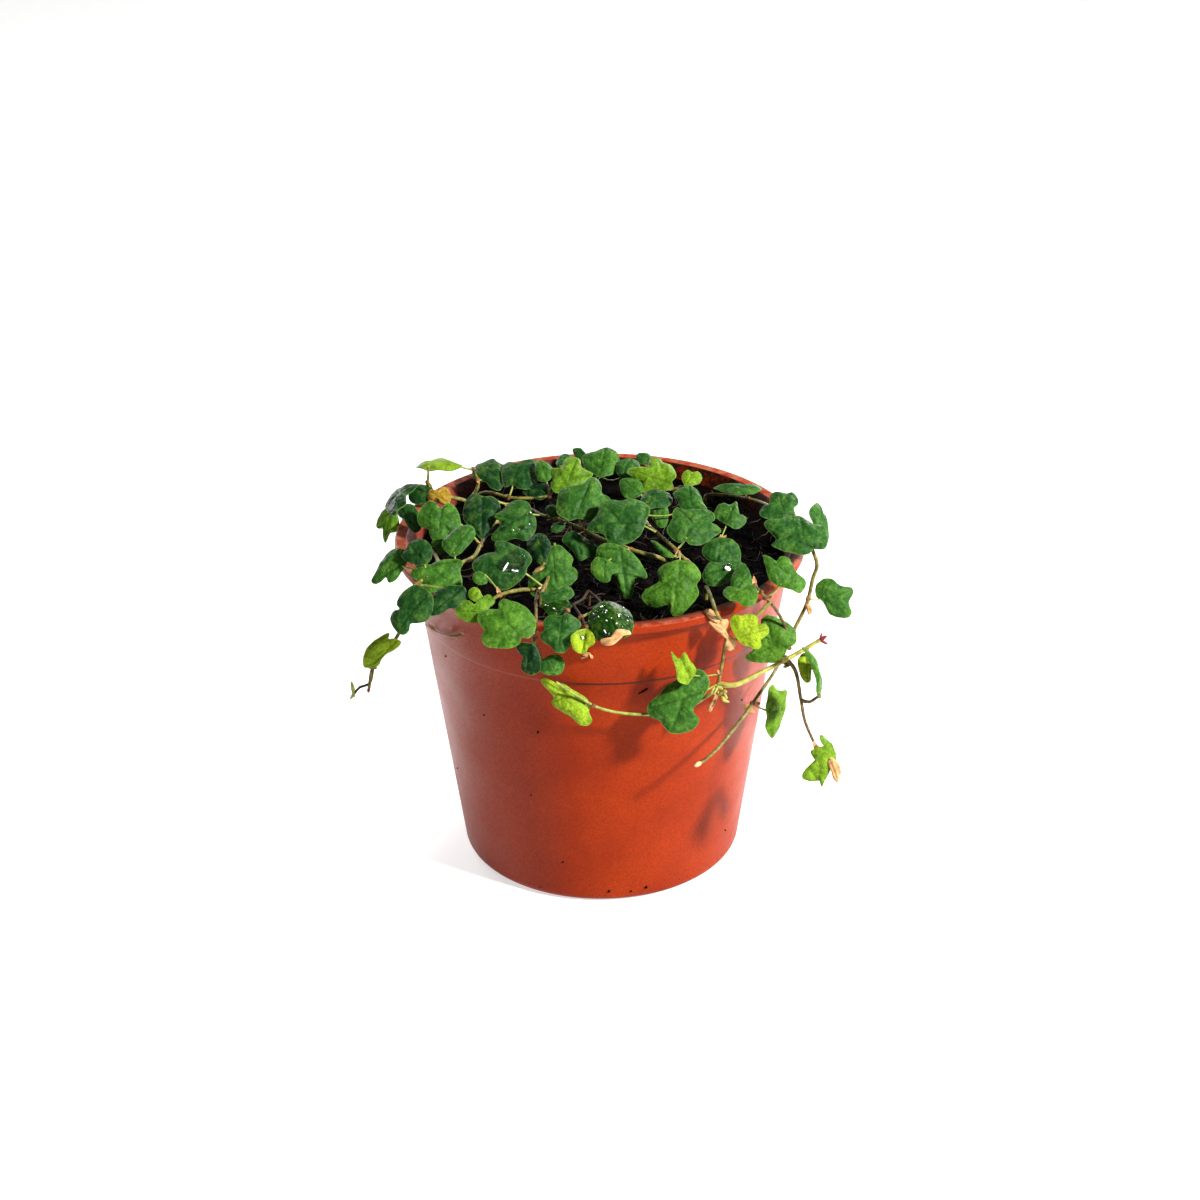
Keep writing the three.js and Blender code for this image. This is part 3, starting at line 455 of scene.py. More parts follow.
# The step under the band: painted shade in front, a painted highlight at the left.
groove = plastic.times(
    plastic.spread(axes["Z"], (BAND_HEIGHT - 0.25) * MM, (BAND_HEIGHT - 0.05) * MM),
    plastic.spread(axes["Z"], (BAND_HEIGHT + 0.85) * MM, (BAND_HEIGHT + 0.6) * MM),
)
groove_light_and_shade = plastic.mix(plastic.spread(axes["X"], -12 * MM, -6 * MM), "#7E3526", "#4A1606")
# Peat on the inside, darkened further as painted shade inside the pot.
peat_and_painted_shade = plastic.times(plastic.attribute("smeared_and_shaded"), plastic.noise(2.5, 4, 0.7, (0.36, 0.56, 0.55, 1.0)))
colour = plastic.mix(plastic.noise(22, 4, 0.55, (0.3, 0.7)), "#822304", "#982F05")
for share, over in (
    (painted_left_sheen, "#833A2D"),
    (plastic.noise(0.6, 3, 0.8, (0.4, 0.62, 0.0, 0.55)), "#621C05"),
    (worn_and_highlit, "#A9694C"),
    (dirt, "#1E0E08"),
    (groove, groove_light_and_shade),
    (peat_and_painted_shade, "#1C0B06"),
):
    colour = plastic.mix(share, colour, over)
plastic.wear({
    "Base Color": colour,
    "Roughness": plastic.noise(14, 5, 0.6, (0.3, 0.7, 0.34, 0.5)),
    "IOR": 1.49,
    "Specular IOR Level": 0.07,
})
plastic.bump(plastic.noise(3.5, 5, 0.55), 0.05)
hand_over(finished(pot, plastic), "pot_shell", "pot_plastic", "pot")

# %% [markdown]
# ## Soil
# The pot is filled with moist peat to about six millimetres below the rim, with a heap that
# rises towards the back. Its surface is crumbs from a tenth of a millimetre to three
# millimetres and short brown fibres. A spun body gives the fill its round shape; its top has
# many fine rings whose points are raised by noise. Crumbs and fibres lie on it as shapes of
# their own, because a bump map alone looks painted when the camera is this low.

# %% Shape of the soil
TOP_RINGS = 46
TOP_STEPS = 180
HEAP = 3.4
HEAP_START = 30
soil_edge = wall_radius(SOIL_EDGE) - WALL - GAP


def soil_height(x, y):
    """Height of the soil's top at a place, all in millimetres."""
    radius = math.hypot(x, y)
    dome = SOIL_CROWN - (SOIL_CROWN - SOIL_EDGE) * radius / soil_edge
    lumps = noise.fractal(Vector((x, y, 3.0)) * 0.09, 1.0, 2.1, 4) * 1.1
    crumbs = abs(noise.noise(Vector((x, y, 9.0)) * 0.62)) * 1.3 - 0.5
    outwards = max(0.0, (radius - HEAP_START) / (soil_edge - HEAP_START))
    heap = HEAP * outwards * max(0.0, y / max(radius, 1)) ** 0.7
    return dome + heap + (lumps + crumbs) * min(1.0, (soil_edge - radius) / 3 + 0.35)


soil_profile = [
    (0, FLOOR + GAP),
    (foot_inside - GAP, FLOOR + GAP),
    (wall_radius(FOOT_ROUND) - WALL - GAP, FOOT_ROUND + 1 + GAP),
    (BAND_RADIUS - WALL - GAP, BAND_HEIGHT),
    *[(soil_edge * (1 - i / TOP_RINGS), SOIL_EDGE + 0.5) for i in range(TOP_RINGS)],
    (0, SOIL_EDGE + 0.5),
]
soil = spun(soil_profile, TOP_STEPS)
for vertex in soil.data.vertices:
    if vertex.co.z > SOIL_EDGE * MM:
        vertex.co.z = soil_height(vertex.co.x / MM, vertex.co.y / MM) * MM
select_only(soil)
bpy.ops.object.shade_smooth()
print("soil top is", len(soil.data.vertices), "points")

# %% [markdown]
# ### Moist peat
# Wet peat is almost black and drinks nearly all light. Two sizes of noise give clods and
# crumbs, and some of the crumbs are tinted brown.

# %% Peat finish
peat = Finish("moist peat")
clods, crumbs = peat.noise(4.5, 4, 0.65), peat.noise(0.8, 3, 0.7)
peat_dark = peat.mix(peat.spread(clods, 0.35, 0.65), "#020101", "#080403")
peat.wear({
    "Base Color": peat.mix(peat.spread(crumbs, 0.56, 0.74, 0.0, 0.6), peat_dark, "#150B06"),
    "Roughness": peat.spread(clods, 0.3, 0.7, 0.95, 0.6),
    "Specular IOR Level": 0.015,
})
peat.bump(crumbs, 0.7, 0.9)
hand_over(finished(soil, peat), "soil_fill", "soil", "soil")

# %% [markdown]
# ### Crumbs and fibres
# One crumb is modelled from an icosphere of twenty faces, made uneven, and copied a few
# hundred times with its own turn and size. The random draws have a fixed seed, and so has
# the vector noise, which would otherwise take one from the clock. So each run gives the
# same plant.

# %% Scatter the crumbs
CRUMB_COUNT = 620
SOIL_SEED = 7
soil_draw = random.Random(SOIL_SEED)
noise.seed_set(SOIL_SEED)


def place_on_soil(share):
    """A drawn place in millimetres, up to the edge when its share of the area is 1."""
    angle, reach = soil_draw.uniform(0, math.tau), soil_edge * math.sqrt(soil_draw.uniform(0, share))
    return reach * math.cos(angle), reach * math.sin(angle)


crumb = added(bpy.ops.mesh.primitive_ico_sphere_add, subdivisions=1, radius=1)
for vertex in crumb.data.vertices:
    rough = noise.noise_vector(vertex.co * 1.7 + Vector((4, 2, 7)))
    vertex.co = vertex.co + rough * 0.45
copies = []
for _ in range(CRUMB_COUNT):
    x, y = place_on_soil(0.985)
    size = soil_draw.choice((0.35, 0.45, 0.6, 0.8, 1.15))
    turn = Matrix.Rotation(soil_draw.uniform(0, math.tau), 4, "Z")
    turn = turn @ Matrix.Rotation(soil_draw.uniform(0, 3), 4, "X")
    wide, high = soil_draw.uniform(0.6, 1), soil_draw.uniform(0.5, 0.9)
    scale = Matrix.Diagonal((size, size * wide, size * high, 1))
    copy = copy_of(crumb)
    copy.data.transform(Matrix.Diagonal((MM, MM, MM, 1)) @ turn @ scale)
    copy.data.transform(Matrix.Translation((x * MM, y * MM, (soil_height(x, y) + 0.25 * size) * MM)))
    copies.append(copy)
bpy.data.objects.remove(crumb)
hand_over(joined(copies, peat), "soil_crumbs", "soil", "soil")

# %% [markdown]
# The fibres are roots and stalks of moss in the peat, a few tenths of a millimetre thick and
# up to about ten millimetres long. A bevelled curve is the natural way to make a thread: the
# curve is its middle line and the bevel its thickness. Its finishes are given to the curve
# before its lines, and it is made a mesh before it is handed over.

# %% Threads from curves


def threads(paths, sides, *finishes):
    """One mesh of many tubes. A path is a list of points, a list of radii and a slot number."""
    made = added(bpy.ops.curve.primitive_bezier_curve_add, radius=1)
    made.data.splines.clear()
    made.data.dimensions = "3D"
    made.data.bevel_depth = 1.0
    made.data.bevel_resolution = sides
    made.data.use_fill_caps = True
    for finish in finishes:
        made.data.materials.append(finish.material)
    for points, radii, number in paths:
        spline = made.data.splines.new("POLY")
        spline.points.add(len(points) - 1)
        spline.material_index = number
        spline.use_smooth = True
        for target, point, radius in zip(spline.points, points, radii):
            target.co = (*point, 1)
            target.radius = radius
    select_only(made)
    bpy.ops.object.convert(target="MESH")
    return bpy.context.object


# %% [markdown]
# ### Peat fibre
# Dry ends of moss and root are a warm mid brown, with darker and lighter ones among them.

# %% Lay the fibres
FIBRE_COUNT = 230
FIBRE_STEPS = 7
FIBRE_STEP = 1.5
fibre = Finish("peat fibre")
fibre_colour = fibre.mix(fibre.noise(5, 2, spread=(0.35, 0.65)), "#0F0805", "#3E2716")
fibre.wear({"Base Color": fibre_colour, "Roughness": 0.8})
paths = []
for _ in range(FIBRE_COUNT):
    x, y = place_on_soil(0.94)
    heading, thick = soil_draw.uniform(0, math.tau), soil_draw.choice((0.07, 0.1, 0.14))
    points = []
    for _ in range(FIBRE_STEPS):
        heading += soil_draw.uniform(-0.5, 0.5)
        x, y = x + FIBRE_STEP * math.cos(heading), y + FIBRE_STEP * math.sin(heading)
        if math.hypot(x, y) > soil_edge - 0.5:
            break
        points.append(Vector((x, y, soil_height(x, y) + 0.5 + soil_draw.uniform(-0.2, 0.5))) * MM)
    if len(points) > 2:
        paths.append((points, [thick * MM] * len(points), 0))
hand_over(threads(paths, 0, fibre), "soil_fibres", "soil", "soil")

# %% [markdown]
# ## Runners
# A runner is a list of rows. A stem has a kind and its places, each a sight and a height. A
# leaf has the sight and the height of its stalk's end, the sight of its tip, and how far its
# face leans up from level; 0 faces the front and 90 lies flat. Next come its tone, from 0 for
# the darkest old leaf to 0.95 for a lime young one and 1 for a yellowing one, and the sights
# round its rim. Some leaves that lie in shade got a lighter tone, which is painted light. A
# paper is a leaf that has withered, and a husk is a bud's scale. A bud sits at the end of a
# stem, and a knot is a cluster of buds.

# %% Rows of the runners
RUNNERS = {}


def runner(node, *rows):
    """Notes the rows of one runner under the name of its node."""
    RUNNERS[node] = rows


def stem(kind, *places):
    """One stem. The first of a runner comes out of the soil, and the others start on it."""
    return Row(part="stem", kind=kind, places=places)


def leaf(at, z, to, lean, tone, *rim, part="leaf", wide=1, turn=0, fold=-0.08, wet=False):
    """One leaf, with the values that most leaves share. Without a rim it has a common form."""
    lean, turn = math.radians(lean), math.radians(turn)
    face = {"tone": tone, "wide": wide, "fold": fold, "wet": wet}
    return Row(part=part, at=at, z=z, to=to, lean=lean, turn=turn, rim=rim, **face)


def paper(at, z, to, lean, *rim, **more):
    """A withered leaf. Its finish doesn't follow its tone."""
    return leaf(at, z, to, lean, 0.3, *rim, part="paper", **more)


def husk(at, z, to, lean, wide):
    """The dry scale of a bud."""
    return leaf(at, z, to, lean, 0, part="husk", wide=wide)


def bud(number, kind, radius, long, angle):
    """A bud at the end of a stem, by the stem's number, turned by an angle in the view."""
    return Row(part="bud", number=number, kind=kind, radius=radius, long=long, angle=angle)


def knot(sight, z, kind, count, spread):
    """A cluster of so many buds round a place."""
    return Row(part="knot", sight=sight, z=z, kind=kind, count=count, spread=spread)


def rows_of(node, *parts):
    """The rows of a runner that are one of these parts."""
    return [row for row in RUNNERS[node] if row.part in parts]


# %% The eleven runners
runner(
    "vine_back_left",
    stem("olive", (468, 503, 98), (450, 497, 101.5), (430, 492, 103.5), (412, 490, 104.5),
        (399, 503, 103.5), (394, 511, 102)),
    stem("olive", (468, 503, 98), (484, 493, 100.5), (512, 498, 102), (532, 498, 102.5), (549, 496, 103)),
    stem("olive", (468, 503, 98), (478, 486, 103), (473, 469, 109)),
    stem("green", (428, 491.6, 103.6), (428, 480, 108), (428.5, 466, 113.5)),
    leaf((485, 482), 105, (493, 457), 72, 0.1, (472, 471), (478, 462), (487, 458), (493, 456), (498, 460),
        (503, 464), (506, 472), (504, 481), (499, 489), (491, 487), (485, 481), (479, 480), (475, 478)),
    leaf((513, 483), 105.5, (524, 458), 68, 0.13, (503, 463), (509, 459), (515, 461), (522, 459),
        (530, 457), (538, 459), (542, 466), (541, 475), (536, 480), (531, 487), (520, 488), (512, 483),
        (505, 486)),
    leaf((547, 480), 107, (539, 458), 60, 0.42, (539, 459), (545, 461), (553, 468), (553, 475), (547, 481),
        (540, 480), (536, 474), (535, 464)),
    leaf((549, 494), 103.5, (529, 484), 72, 0, (549, 494), (540, 498), (530, 496), (523, 490), (527, 484),
        (536, 482), (545, 481), (551, 487)),
    leaf((461, 464), 112, (416, 463), 99, 0.8, (416, 463), (422, 460), (430, 457), (441, 453), (449, 456),
        (458, 462), (462, 465), (449, 467), (430, 467), (420, 465)),
    leaf((417, 482), 107, (385, 505), 62, 0.03, (384, 505), (387, 497), (396, 487), (406, 483), (417, 481),
        (412, 488), (406, 492), (402, 498), (396, 501), (390, 506), turn=-118),
    leaf((433, 489), 106, (408, 498), 60, 0.14, (408, 494), (411, 486), (420, 483), (431, 487), (434, 492),
        (428, 499), (417, 503), (411, 501), turn=-20),
    leaf((450, 504), 104, (429, 491), 54, 1, (427, 494), (430, 488), (436, 490), (443, 486), (449, 490),
        (451, 498), (447, 504), (441, 502), (436, 499), (429, 499), turn=-12),
    leaf((392, 509), 103, (384, 542), 22, 0.58, (388, 507), (394, 508), (397, 516), (398, 524), (395, 532),
        (390, 533), (384, 543), (382, 537), (382, 529), (376, 528), (376, 521), (381, 512), turn=-20),
    leaf((399, 507), 107, (418, 530), 35, 0.2, (396, 507), (403, 504), (411, 504), (416, 510), (420, 519),
        (420, 528), (415, 532), (409, 528), (404, 520), (398, 515), turn=-20),
)
runner(
    "vine_left",
    stem("olive", (502, 524, 98), (496, 522, 99.4), (482, 542, 99.8), (474, 556, 102.2), (463, 562, 103.8),
        (440, 572, 103.6), (422, 580, 103.4), (408, 592, 102), (400, 612, 93), (399, 633, 83.5),
        (387, 650, 79.5), (373, 667, 76), (369, 688, 70)),
    stem("dark", (373, 667, 76), (369, 684, 71), (360, 687, 70), (354, 694, 68)),
    stem("olive", (440, 572, 103.6), (436, 556, 104), (430, 549, 104.2)),
    leaf((443, 506), 111, (437, 543), 45, 0.42, (441, 508), (446, 503), (453, 504), (457, 510), (460, 519),
        (459, 529), (453, 531), (449, 530), (446, 536), (441, 542), (434, 541), (430, 534), (428, 528),
        (421, 525), (417, 518), (420, 508), (427, 501), (434, 501)),
    leaf((446, 539), 106.5, (434, 552), 45, 0.4, (432, 541), (440, 539), (447, 541), (446, 550), (441, 554),
        (435, 550)),
    leaf((452, 555), 106.5, (471, 528), 52, 0.36, (453, 556), (444, 548), (442, 541), (448, 534),
        (455, 527), (463, 524), (471, 524), (475, 532), (472, 539), (466, 547), (460, 553)),
    leaf((457, 561), 107.5, (411, 571), 52, 0.43, (438, 560), (450, 558), (458, 559), (463, 563),
        (460, 569), (462, 580), (461, 587), (453, 589), (443, 586), (437, 589), (430, 590), (423, 585),
        (419, 579), (411, 575), (411, 570), (424, 563), (430, 564)),
    leaf((462, 589), 106, (437, 608), 52, 0.12, (434, 592), (445, 586), (456, 585), (464, 587), (467, 595),
        (465, 602), (457, 607), (448, 608), (440, 612), (431, 614), (427, 606)),
    leaf((428, 594), 105.5, (397, 631), 38, 0.2, (416, 584), (407, 587), (400, 593), (396, 604), (399, 608),
        (392, 610), (389, 617), (391, 624), (396, 631), (402, 634), (407, 631), (409, 623), (417, 622),
        (425, 620), (431, 613), (433, 603), (430, 593), turn=-15),
    leaf((405, 563), 106, (371, 584), 40, 0.38, (370, 581), (373, 583), (380, 581), (386, 577), (388, 582),
        (395, 579), (400, 572), (406, 563), (409, 556), (403, 549), (395, 547), (388, 550), (380, 560),
        (376, 569), turn=-25),
    leaf((425, 563), 108, (405, 539), 48, 0.14, (405, 549), (411, 541), (418, 538), (426, 540), (431, 547),
        (431, 556), (426, 563), (415, 564), (406, 560), (401, 555), turn=-15),
    leaf((375, 663), 78.4, (397, 641), 20, 0.85, (364, 667), (365, 653), (371, 644), (380, 637), (389, 633),
        (388, 639), (394, 639), (400, 643), (398, 647), (385, 655), (380, 661), (379, 664), (376, 667),
        (370, 668), turn=-12, fold=0.1),
    bud(0, "bud", 0.5, 1.8, 0),
    bud(1, "green", 0.5, 2.4, 0),
    bud(1, "green", 0.6, 4.6, 130),
    knot((371, 664), 77, "joint", 3, 0.8),
)
runner(
    "vine_front_left",
    stem("brown", (540, 590, 98.5), (536, 600, 101.5), (536, 610, 103), (536, 619, 103), (535, 631, 100.5),
        (536, 645, 96), (541, 657, 92), (546, 667, 89)),
    stem("olive", (540, 590, 98.5), (520, 590, 101.5), (500, 595, 103), (486, 603, 103.4),
        (474, 606, 103.4)),
    leaf((521, 637), 101, (490, 605), 47, 0.5, (498, 608), (499, 601), (504, 597), (513, 600), (522, 604),
        (530, 610), (536, 619), (535, 629), (529, 638), (522, 637), (519, 644), (512, 647), (494, 646),
        (485, 643), (481, 636), (484, 629), (480, 623), (477, 616), (482, 609), (490, 608)),
    leaf((487, 612), 104.4, (456, 611), 48, 0.6, (455, 610), (459, 605), (463, 600), (469, 600), (475, 604),
        (480, 598), (486, 597), (490, 604), (486, 612), (480, 620), (473, 622), (460, 617)),
    leaf((478, 589), 106.4, (476, 600), 50, 0.72, (469, 590), (475, 587), (480, 591), (481, 598),
        (476, 601), (470, 598)),
    leaf((492, 597), 105.6, (481, 606), 50, 0.6, wide=0.9),
    leaf((486, 573), 108, (474, 582), 55, 0.42, (473, 574), (480, 571), (486, 576), (487, 582), (480, 584),
        (474, 581)),
    leaf((530, 645), 98, (526, 674), 25, 0, (516, 647), (520, 643), (527, 643), (534, 645), (538, 653),
        (540, 662), (539, 671), (532, 675), (525, 673), (521, 667), (523, 656), (518, 652), turn=-10),
    leaf((556, 672), 90.6, (547, 656), 25, 0.36, (540, 670), (540, 662), (545, 658), (551, 655), (558, 655),
        (564, 661), (564, 668), (560, 674), (551, 675), (544, 674)),
)
runner(
    "vine_middle_left",
    stem("olive", (552, 560, 98), (543, 566, 101), (534, 573, 103)),
    stem("olive", (552, 560, 98), (549, 575, 100), (544, 588, 102), (541, 594, 103.6)),
    stem("olive", (552, 560, 98), (556, 550, 102), (554, 543, 104)),
    leaf((526, 570), 107, (473, 563), 50, 0.2, (495, 541), (503, 539), (512, 542), (521, 546), (529, 552),
        (532, 560), (527, 568), (525, 574), (517, 582), (507, 587), (498, 588), (492, 582), (484, 576),
        (476, 572), (472, 564), (476, 556), (486, 552), (495, 550)),
    leaf((545, 566), 104, (538, 533), 55, 0, (527, 540), (532, 534), (542, 532), (548, 538), (551, 546),
        (548, 555), (545, 564), (538, 562), (533, 556), (528, 549), turn=-10),
    leaf((553, 546), 107, (555, 583), 46, 0.38, (552, 546), (560, 545), (568, 551), (573, 557), (571, 565),
        (575, 567), (578, 574), (573, 581), (565, 587), (555, 591), (546, 593), (537, 595), (530, 590),
        (528, 581), (532, 574), (540, 570), (542, 560), (546, 552)),
    leaf((543, 597), 104.5, (577, 588), 50, 0.28, (541, 592), (555, 591), (569, 586), (574, 593),
        (570, 598), (560, 602), (548, 603), (542, 599)),
)
runner(
    "vine_back",
    stem("olive", (596, 492, 98), (600, 480, 101.5), (612, 469, 103.5), (632, 463, 104), (650, 460, 104)),
    stem("olive", (596, 492, 98), (582, 485, 102), (566, 474, 103.6), (560, 466, 104)),
    leaf((566, 489), 106, (578, 456), 58, 0.62, (553, 475), (552, 466), (561, 466), (564, 459), (568, 455),
        (575, 455), (580, 458), (581, 465), (587, 469), (593, 472), (587, 479), (579, 485), (570, 488),
        (562, 491), (554, 491), (551, 483)),
    leaf((560, 467), 105.5, (566, 452), 72, 0.26, (556, 463), (559, 456), (565, 453), (571, 454),
        (573, 461), (566, 466), (560, 468)),
    leaf((588, 457), 105, (573, 448), 66, 0.18, (573, 448), (579, 447), (584, 451), (588, 457), (581, 459),
        (575, 455)),
    leaf((600, 476), 105.4, (606, 446), 62, 0.4, (583, 453), (592, 450), (601, 447), (608, 445), (615, 449),
        (619, 456), (619, 464), (614, 471), (607, 475), (600, 477), (592, 472), (585, 467), (583, 460)),
    leaf((622, 478), 105.5, (630, 458), 62, 0.3, (617, 470), (618, 461), (623, 458), (630, 457), (637, 459),
        (640, 466), (636, 474), (627, 479), (620, 477)),
    leaf((650, 463), 105.5, (637, 453), 66, 0.28, (636, 456), (640, 452), (647, 452), (651, 456),
        (650, 463), (641, 463)),
)
runner(
    "vine_runner",
    stem("olive", (664, 568, 98), (662, 559, 103), (638, 552, 104.8), (621, 546, 104.8), (604, 540, 104.4),
        (575, 526, 104.6), (556, 519, 105.4), (542, 515, 105), (531, 509.5, 104.4), (508, 505, 103.6),
        (490, 499, 103.2)),
    leaf((483, 495), 110.2, (482, 533), 56, 0.05, (467, 497), (475, 493), (483, 496), (491, 495),
        (498, 499), (500, 507), (497, 516), (492, 525), (487, 533), (481, 537), (475, 531), (468, 524),
        (463, 515), (464, 504)),
    leaf((531, 511), 109, (492, 535), 48, 0.28, (494, 514), (503, 508), (510, 501), (518, 499), (527, 501),
        (531, 507), (531, 512), (535, 516), (536, 523), (534, 531), (529, 538), (523, 539), (516, 537),
        (507, 539), (496, 539), (491, 537), (495, 530), (501, 523)),
    leaf((576, 519), 109, (592, 476), 48, 0.34, (557, 498), (559, 490), (566, 485), (575, 484), (583, 482),
        (590, 476), (596, 476), (601, 483), (602, 492), (609, 496), (611, 503), (606, 510), (597, 516),
        (587, 520), (578, 518), (569, 520), (560, 515), (556, 507)),
    leaf((577, 531), 106, (581, 559), 50, 0.24, (562, 539), (566, 533), (574, 531), (583, 536), (592, 541),
        (598, 547), (594, 555), (587, 556), (580, 560), (574, 552), (569, 546)),
    leaf((621, 547), 107.5, (627, 598), 38, 0.38, (597, 547), (607, 542), (621, 546), (633, 553),
        (641, 563), (647, 577), (635, 577), (634, 588), (631, 597), (627, 599), (621, 594), (617, 583),
        (611, 574), (602, 567), (597, 557)),
    leaf((605, 561), 105.5, (604, 581), 45, 0.45, (592, 562), (596, 557), (603, 558), (610, 561),
        (617, 565), (618, 571), (612, 574), (609, 581), (602, 581), (596, 577), (591, 570)),
    leaf((559, 514), 106.5, (546, 506), 60, 0.2, (546, 507), (552, 504), (559, 507), (561, 513), (555, 517),
        (548, 514)),
    leaf((563, 523), 106.5, (551, 530), 50, 0.2, (551, 530), (553, 524), (560, 522), (565, 525), (562, 530),
        (556, 532)),
)
runner(
    "vine_centre_right",
    stem("olive", (690, 564, 98), (683, 558, 102.5), (676, 550, 105), (657, 533, 106.5), (648, 525, 107),
        (644, 512, 105.5), (648, 497, 104), (664, 490, 104), (680, 488, 104.5)),
    leaf((646, 523), 111, (590, 524), 52, 0.28, (601, 500), (610, 497), (620, 498), (630, 496), (641, 498),
        (648, 503), (650, 512), (646, 520), (644, 527), (640, 534), (632, 539), (624, 542), (617, 545),
        (611, 545), (607, 538), (604, 533), (594, 530), (587, 526), (592, 519), (598, 512)),
    leaf((641, 494), 105.6, (622, 479), 58, 0.38, (620, 480), (625, 477), (633, 477), (640, 480),
        (643, 488), (640, 495), (632, 498), (625, 496), (621, 489)),
    leaf((655, 505), 106.5, (660, 531), 45, 0.4, (656, 503), (663, 502), (668, 508), (668, 518), (666, 525),
        (660, 527), (655, 522), (651, 514)),
    leaf((645, 505), 107.2, (664, 495), 68, 0.18, (641, 500), (644, 492), (652, 487), (663, 488),
        (670, 492), (672, 500), (665, 506), (655, 507), (646, 508)),
    leaf((681, 561), 108.8, (673, 616), 36, 0.5, (658, 570), (664, 564), (673, 561), (684, 560), (693, 563),
        (699, 570), (701, 577), (697, 583), (699, 592), (693, 602), (685, 610), (678, 616), (672, 614),
        (668, 604), (658, 606), (647, 603), (642, 597), (645, 590), (653, 585), (660, 580), (658, 575)),
    leaf((674, 556), 107, (652, 538), 78, 0.45, (651, 537), (655, 539), (660, 544), (667, 549), (673, 553),
        (674, 557), (667, 556), (659, 550), (654, 544)),
    leaf((692, 508), 107.6, (689, 486), 62, 0.32, (673, 491), (680, 486), (688, 484), (695, 487),
        (700, 493), (703, 501), (707, 509), (697, 510), (687, 510), (680, 505), (678, 499)),
    leaf((686, 541), 107.6, (694, 508), 50, 0.32, (684, 508), (697, 508), (708, 508), (714, 512),
        (715, 517), (711, 521), (718, 524), (721, 529), (714, 535), (707, 541), (699, 544), (690, 544),
        (685, 540), (679, 542), (671, 536), (667, 528), (672, 518), (673, 510), (677, 505)),
    leaf((672, 484), 107, (627, 468), 56, 0.66, (627, 470), (630, 466), (640, 465), (648, 465), (650, 457),
        (658, 456), (663, 460), (671, 463), (676, 471), (676, 476), (672, 481), (673, 487), (667, 490),
        (655, 490), (645, 492), (641, 487), (643, 480), (635, 477)),
    leaf((687, 484), 106.4, (695, 470), 52, 0.72, (682, 479), (683, 473), (688, 469), (692, 472),
        (698, 471), (702, 476), (700, 482), (693, 485), (686, 486)),
)
runner(
    "vine_right",
    stem("olive", (706, 496, 98), (724, 495, 98.6), (744, 498, 100), (762, 503, 102), (775, 510, 103.4),
        (786, 517, 103.8), (800, 534, 104), (812, 549, 103.6), (817, 565, 99), (813, 578, 94.5),
        (807, 603, 87.5), (794, 630, 80), (776, 669, 71), (757, 697, 66), (746, 713, 63.5),
        (718, 748, 58.5), (706, 759, 56.5), (700, 763, 56)),
    leaf((748, 489), 103.5, (716, 485), 88, 0.33, (714, 485), (722, 483), (732, 482), (745, 482),
        (757, 483), (762, 488), (757, 491), (745, 493), (733, 492), (723, 489)),
    leaf((785, 515), 106, (778, 490), 55, 0.27, (760, 511), (763, 505), (769, 503), (771, 493), (777, 491),
        (787, 492), (793, 490), (798, 497), (798, 503), (794, 507), (795, 514), (788, 518), (771, 518),
        (763, 516)),
    leaf((812, 548), 106, (765, 523), 52, 0.3, (764, 521), (768, 518), (780, 518), (786, 515), (792, 513),
        (800, 513), (808, 518), (815, 522), (824, 524), (828, 533), (828, 541), (824, 548), (813, 548),
        (810, 552), (802, 554), (792, 551), (780, 548), (772, 543), (777, 538), (772, 532), (767, 527)),
    leaf((824, 537), 104, (820, 503), 30, 0.34, (812, 512), (814, 506), (821, 502), (823, 510), (828, 515),
        (829, 524), (831, 537), (828, 541), (820, 536), (816, 524), turn=55),
    leaf((823, 600), 87.5, (852, 590), 28, 0.36, (815, 590), (818, 583), (826, 578), (834, 580), (839, 585),
        (846, 587), (852, 588), (853, 594), (849, 602), (852, 613), (850, 617), (838, 617), (830, 614),
        (826, 607), (822, 601), (817, 597)),
    leaf((768, 712), 63, (789, 709), 14, 0.64, (776, 685), (781, 691), (790, 691), (789, 699), (787, 711),
        (783, 724), (778, 737), (775, 739), (770, 732), (768, 720), (767, 708), (770, 696), turn=48),
    bud(0, "paper", 0.75, 2.4, 0),
    paper((748, 706), 64.5, (754, 714), 15, (745, 704), (750, 706), (755, 713), (749, 713), (744, 709)),
    paper((808, 604), 88, (811, 615), 15, (806, 604), (811, 606), (812, 612), (809, 615), (807, 610)),
)
